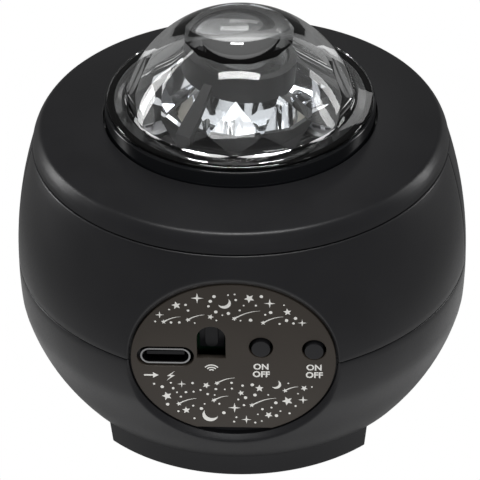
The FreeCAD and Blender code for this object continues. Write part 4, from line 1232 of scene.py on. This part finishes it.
    def make_print(self) -> None:
        """Print the white motifs as a thin layer on the plate."""
        for name, motif in self.motifs().items():
            curve = flat_curve([motif.outline], self.ink / 2, 0.0)
            shape = bpy.data.objects.new(name + "_motif", bake(curve, name + "_motif"))
            places = bpy.data.meshes.new(name + "_places")
            places.from_pydata([(x * MM, z * MM, 0.0) for x, z, _, _ in motif.places], [], [])
            for label, number in (("size", 2), ("turn", 3)):
                layer = places.attributes.new(label, "FLOAT", "POINT")
                layer.data.foreach_set("value", [place[number] for place in motif.places])
            mesh = stamp_motif(shape, places, PANEL_INK.material(), name + "_print")
            mesh.transform(self.ink_place())
            self._add_print(mesh, "print_" + name)
            bpy.data.objects.remove(shape)
        mesh = bake(flat_curve(self.streaks() + self.signs(), self.ink / 2, 0.0), "print_trails")
        mesh.transform(self.ink_place())
        self._add_print(mesh, "print_trails")

    def make(self) -> None:
        """Build the plate and its print."""
        self.make_plate()
        self.make_print()
        self.make_words()


def stamp_motif(shape: bpy.types.Object, places: bpy.types.Mesh, material: bpy.types.Material,
                name: str) -> bpy.types.Mesh:
    """Set copies of one motif at marked points with Geometry Nodes.

    Args:
        shape: The motif.
        places: Points with a size and a turn for each copy.
        material: What the copies are made of.
        name: The new mesh's name.

    Returns:
        The copies as one plain mesh.
    """
    group = bpy.data.node_groups.new("stamp_motif", "GeometryNodeTree")
    face = group.interface
    face.new_socket("Geometry", in_out="INPUT", socket_type="NodeSocketGeometry")
    motif_input = face.new_socket("Motif", in_out="INPUT", socket_type="NodeSocketObject")
    scale_input = face.new_socket("Scale", in_out="INPUT", socket_type="NodeSocketFloat")
    material_input = face.new_socket("Material", in_out="INPUT", socket_type="NodeSocketMaterial")
    face.new_socket("Geometry", in_out="OUTPUT", socket_type="NodeSocketGeometry")
    given = add_node(group, "NodeGroupInput").outputs
    size = add_node(group, "GeometryNodeInputNamedAttribute", {"Name": "size"}, data_type="FLOAT").outputs[0]
    turn = add_node(group, "GeometryNodeInputNamedAttribute", {"Name": "turn"}, data_type="FLOAT").outputs[0]
    scale = add_node(group, "ShaderNodeMath", {0: size, 1: given["Scale"]}, operation="MULTIPLY").outputs[0]
    spin = add_node(group, "ShaderNodeCombineXYZ", {"Z": turn}).outputs[0]
    source = add_node(group, "GeometryNodeObjectInfo", {"Object": given["Motif"]}).outputs["Geometry"]
    points = add_node(group, "GeometryNodeMeshToPoints", {"Mesh": given["Geometry"]}).outputs[0]
    copies = add_node(group, "GeometryNodeInstanceOnPoints", {
        "Points": points, "Instance": source, "Rotation": spin, "Scale": scale,
    }).outputs[0]
    real = add_node(group, "GeometryNodeRealizeInstances", {0: copies}).outputs[0]
    dressed = add_node(group, "GeometryNodeSetMaterial", {
        "Geometry": real, "Material": given["Material"],
    }).outputs[0]
    add_node(group, "NodeGroupOutput", {0: dressed})
    holder = add_object(name, places)
    modifier = holder.modifiers.new("stamp", "NODES")
    modifier.node_group = group
    modifier[motif_input.identifier] = shape
    modifier[scale_input.identifier] = 1.0
    modifier[material_input.identifier] = material
    mesh = bake(holder, name)
    bpy.data.node_groups.remove(group)
    return mesh


@dataclass(frozen=True)
class Softbox:
    """One rectangular lamp that points at the lamp's axis; sizes in metres, power in watts."""

    name: str
    place: tuple[float, float, float]
    aim_height: float
    size: Point
    power: float
    in_reflections: bool = True

    def make(self) -> None:
        """Put the softbox in the scene."""
        data = bpy.data.lights.new(self.name, "AREA")
        data.shape = "RECTANGLE"
        data.size, data.size_y = self.size
        data.energy = self.power
        lamp = add_object(self.name, data)
        direction = Vector((0, 0, self.aim_height)) - Vector(self.place)
        facing = direction.to_track_quat("-Z", "Y").to_matrix().to_4x4()
        lamp.matrix_world = Matrix.Translation(self.place) @ facing
        lamp.visible_glossy = self.in_reflections


@dataclass
class Studio:
    """The floor, the light and the camera."""

    turn: float = 3.0
    elevation: float = 34.1
    distance: float = 0.700
    lens: float = 283.0
    sensor: float = 36.0
    target_height: float = 31.5 * MM
    shift: Point = (-2.1 / 480, -6.8 / 480)
    roll: float = -0.85

    world_strength: float = 0.12
    mirrored_strength: float = 0.85
    straight_bounces: float = 0.5
    mirrored_bounces: float = 2.5

    floor_half_size: float = 3.0
    floor_drop: float = 0.02 * MM
    # In what the floor throws back, light and shade are painted: a dim painted shadow under the lamp rises to a
    # painted bright ring round it, which fades out to the dim far floor.
    painted_shadow_strength: float = 0.3
    painted_light_strength: float = 0.7
    floor_strength: float = 0.19
    painted_shadow_fade: Point = (38 * MM, 47 * MM)
    painted_light_fade: Point = (52 * MM, 90 * MM)

    softboxes: Sequence[Softbox] = (
        Softbox("left_softbox", (-0.62, 0.20, 0.12), 0.035, (0.12, 0.6), 1.9),
        Softbox("right_softbox", (0.62, 0.24, 0.12), 0.035, (0.10, 0.6), 1.2),
        Softbox("high_front_softbox", (0.0, -0.13, 0.66), 0.05, (0.4, 0.08), 2.0),
        Softbox("front_fill", (0.1, -0.75, 0.30), 0.03, (0.5, 0.3), 4.0, in_reflections=False),
        Softbox("back_card", (0.0, 0.58, 0.45), 0.06, (0.18, 0.07), 0.07),
    )

    def make_camera(self) -> None:
        """Place the camera at the photograph's angle."""
        data = bpy.data.cameras.new("camera")
        data.lens = self.lens
        data.sensor_width = self.sensor
        data.shift_x, data.shift_y = self.shift
        data.clip_start = 0.01
        camera = add_object("camera", data)
        turn = math.radians(self.turn)
        rise = math.radians(self.elevation)
        away = Vector((math.sin(turn) * math.cos(rise), -math.cos(turn) * math.cos(rise), math.sin(rise)))
        target = Vector((0, 0, self.target_height))
        place = Matrix.Translation(target + away * self.distance)
        facing = Euler((math.pi / 2 - rise, 0, turn)).to_matrix().to_4x4()
        camera.matrix_world = place @ facing @ Matrix.Rotation(math.radians(self.roll), 4, "Z")
        bpy.context.scene.camera = camera

    def make_world(self) -> None:
        """Light the scene softly, white to the camera and nearly so to what is seen through the dome."""
        world = bpy.data.worlds.new("studio")
        bpy.context.scene.world = world
        tree = fresh_tree(world)
        path = add_node(tree, "ShaderNodeLightPath").outputs
        bounces = add_node(tree, "ShaderNodeMath", {
            0: path["Glossy Depth"], 1: path["Diffuse Depth"],
        }, operation="ADD").outputs[0]
        straight, few = (
            add_node(tree, "ShaderNodeMath", {0: bounces, 1: limit}, operation="LESS_THAN").outputs[0]
            for limit in (self.straight_bounces, self.mirrored_bounces)
        )
        inside = add_node(tree, "ShaderNodeMath", {
            0: few, 1: path["Is Transmission Ray"],
        }, operation="MULTIPLY").outputs[0]
        dim = add_node(tree, "ShaderNodeMapRange", {
            "Value": inside, "To Min": self.world_strength, "To Max": self.mirrored_strength,
        }).outputs[0]
        strength = add_node(tree, "ShaderNodeMapRange", {
            "Value": straight, "To Min": dim, "To Max": 1.0,
        }).outputs[0]
        background = add_node(tree, "ShaderNodeBackground", {"Color": (1, 1, 1, 1), "Strength": strength})
        add_node(tree, "ShaderNodeOutputWorld", {"Surface": background.outputs[0]})

    def make_floor(self) -> None:
        """Lay the floor: white to the camera; in what it throws back, a painted shadow under the lamp and a
        painted bright ring round it, dimmer further out; clear from below.
        """
        bm = bmesh.new()
        bmesh.ops.create_grid(bm, x_segments=1, y_segments=1, size=self.floor_half_size)
        bmesh.ops.translate(bm, verts=bm.verts, vec=(0, 0, -self.floor_drop))
        mesh = mesh_from(bm, "floor")
        floor = add_object("floor", mesh)
        material = bpy.data.materials.new("pale_floor")
        tree = fresh_tree(material)
        path = add_node(tree, "ShaderNodeLightPath").outputs
        place = add_node(tree, "ShaderNodeTexCoord").outputs["Object"]
        away = add_node(tree, "ShaderNodeVectorMath", {0: place}, operation="LENGTH").outputs["Value"]
        # Painted light and shade in the floor's glow: dim beneath the lamp for a painted shadow, bright in a
        # ring round it for a painted pool of light.
        outward, inward = (
            add_node(tree, "ShaderNodeMapRange", {
                "Value": away, "From Min": first, "From Max": last, "To Min": low, "To Max": high,
            }).outputs[0]
            for (first, last), low, high in (
                (self.painted_light_fade, self.painted_light_strength, self.floor_strength),
                (self.painted_shadow_fade, self.painted_shadow_strength, self.painted_light_strength),
            )
        )
        bounce = add_node(tree, "ShaderNodeMath", {0: outward, 1: inward}, operation="MINIMUM").outputs[0]
        strength = add_node(tree, "ShaderNodeMapRange", {
            "Value": path["Is Camera Ray"], "To Min": bounce, "To Max": 1.0,
        }).outputs[0]
        white = add_node(tree, "ShaderNodeEmission", {"Color": (1, 1, 1, 1), "Strength": strength})
        clear = add_node(tree, "ShaderNodeBsdfTransparent")
        below = add_node(tree, "ShaderNodeNewGeometry").outputs["Backfacing"]
        mixed = add_node(tree, "ShaderNodeMixShader", {0: below, 1: white.outputs[0], 2: clear.outputs[0]})
        add_node(tree, "ShaderNodeOutputMaterial", {"Surface": mixed.outputs[0]})
        mesh.materials.append(material)

    def make(self) -> None:
        """Set up the whole studio."""
        bpy.context.scene.view_settings.view_transform = "Standard"
        self.make_camera()
        self.make_world()
        self.make_floor()
        for softbox in self.softboxes:
            softbox.make()


def main() -> None:
    """Build the pieces and the studio."""
    logging.basicConfig(level=logging.INFO, format="%(name)s: %(message)s")
    dress_nodes()
    Housing().make()
    Dome().make()
    ControlPanel().make()
    Studio().make()


if __name__ == "__main__":
    main()
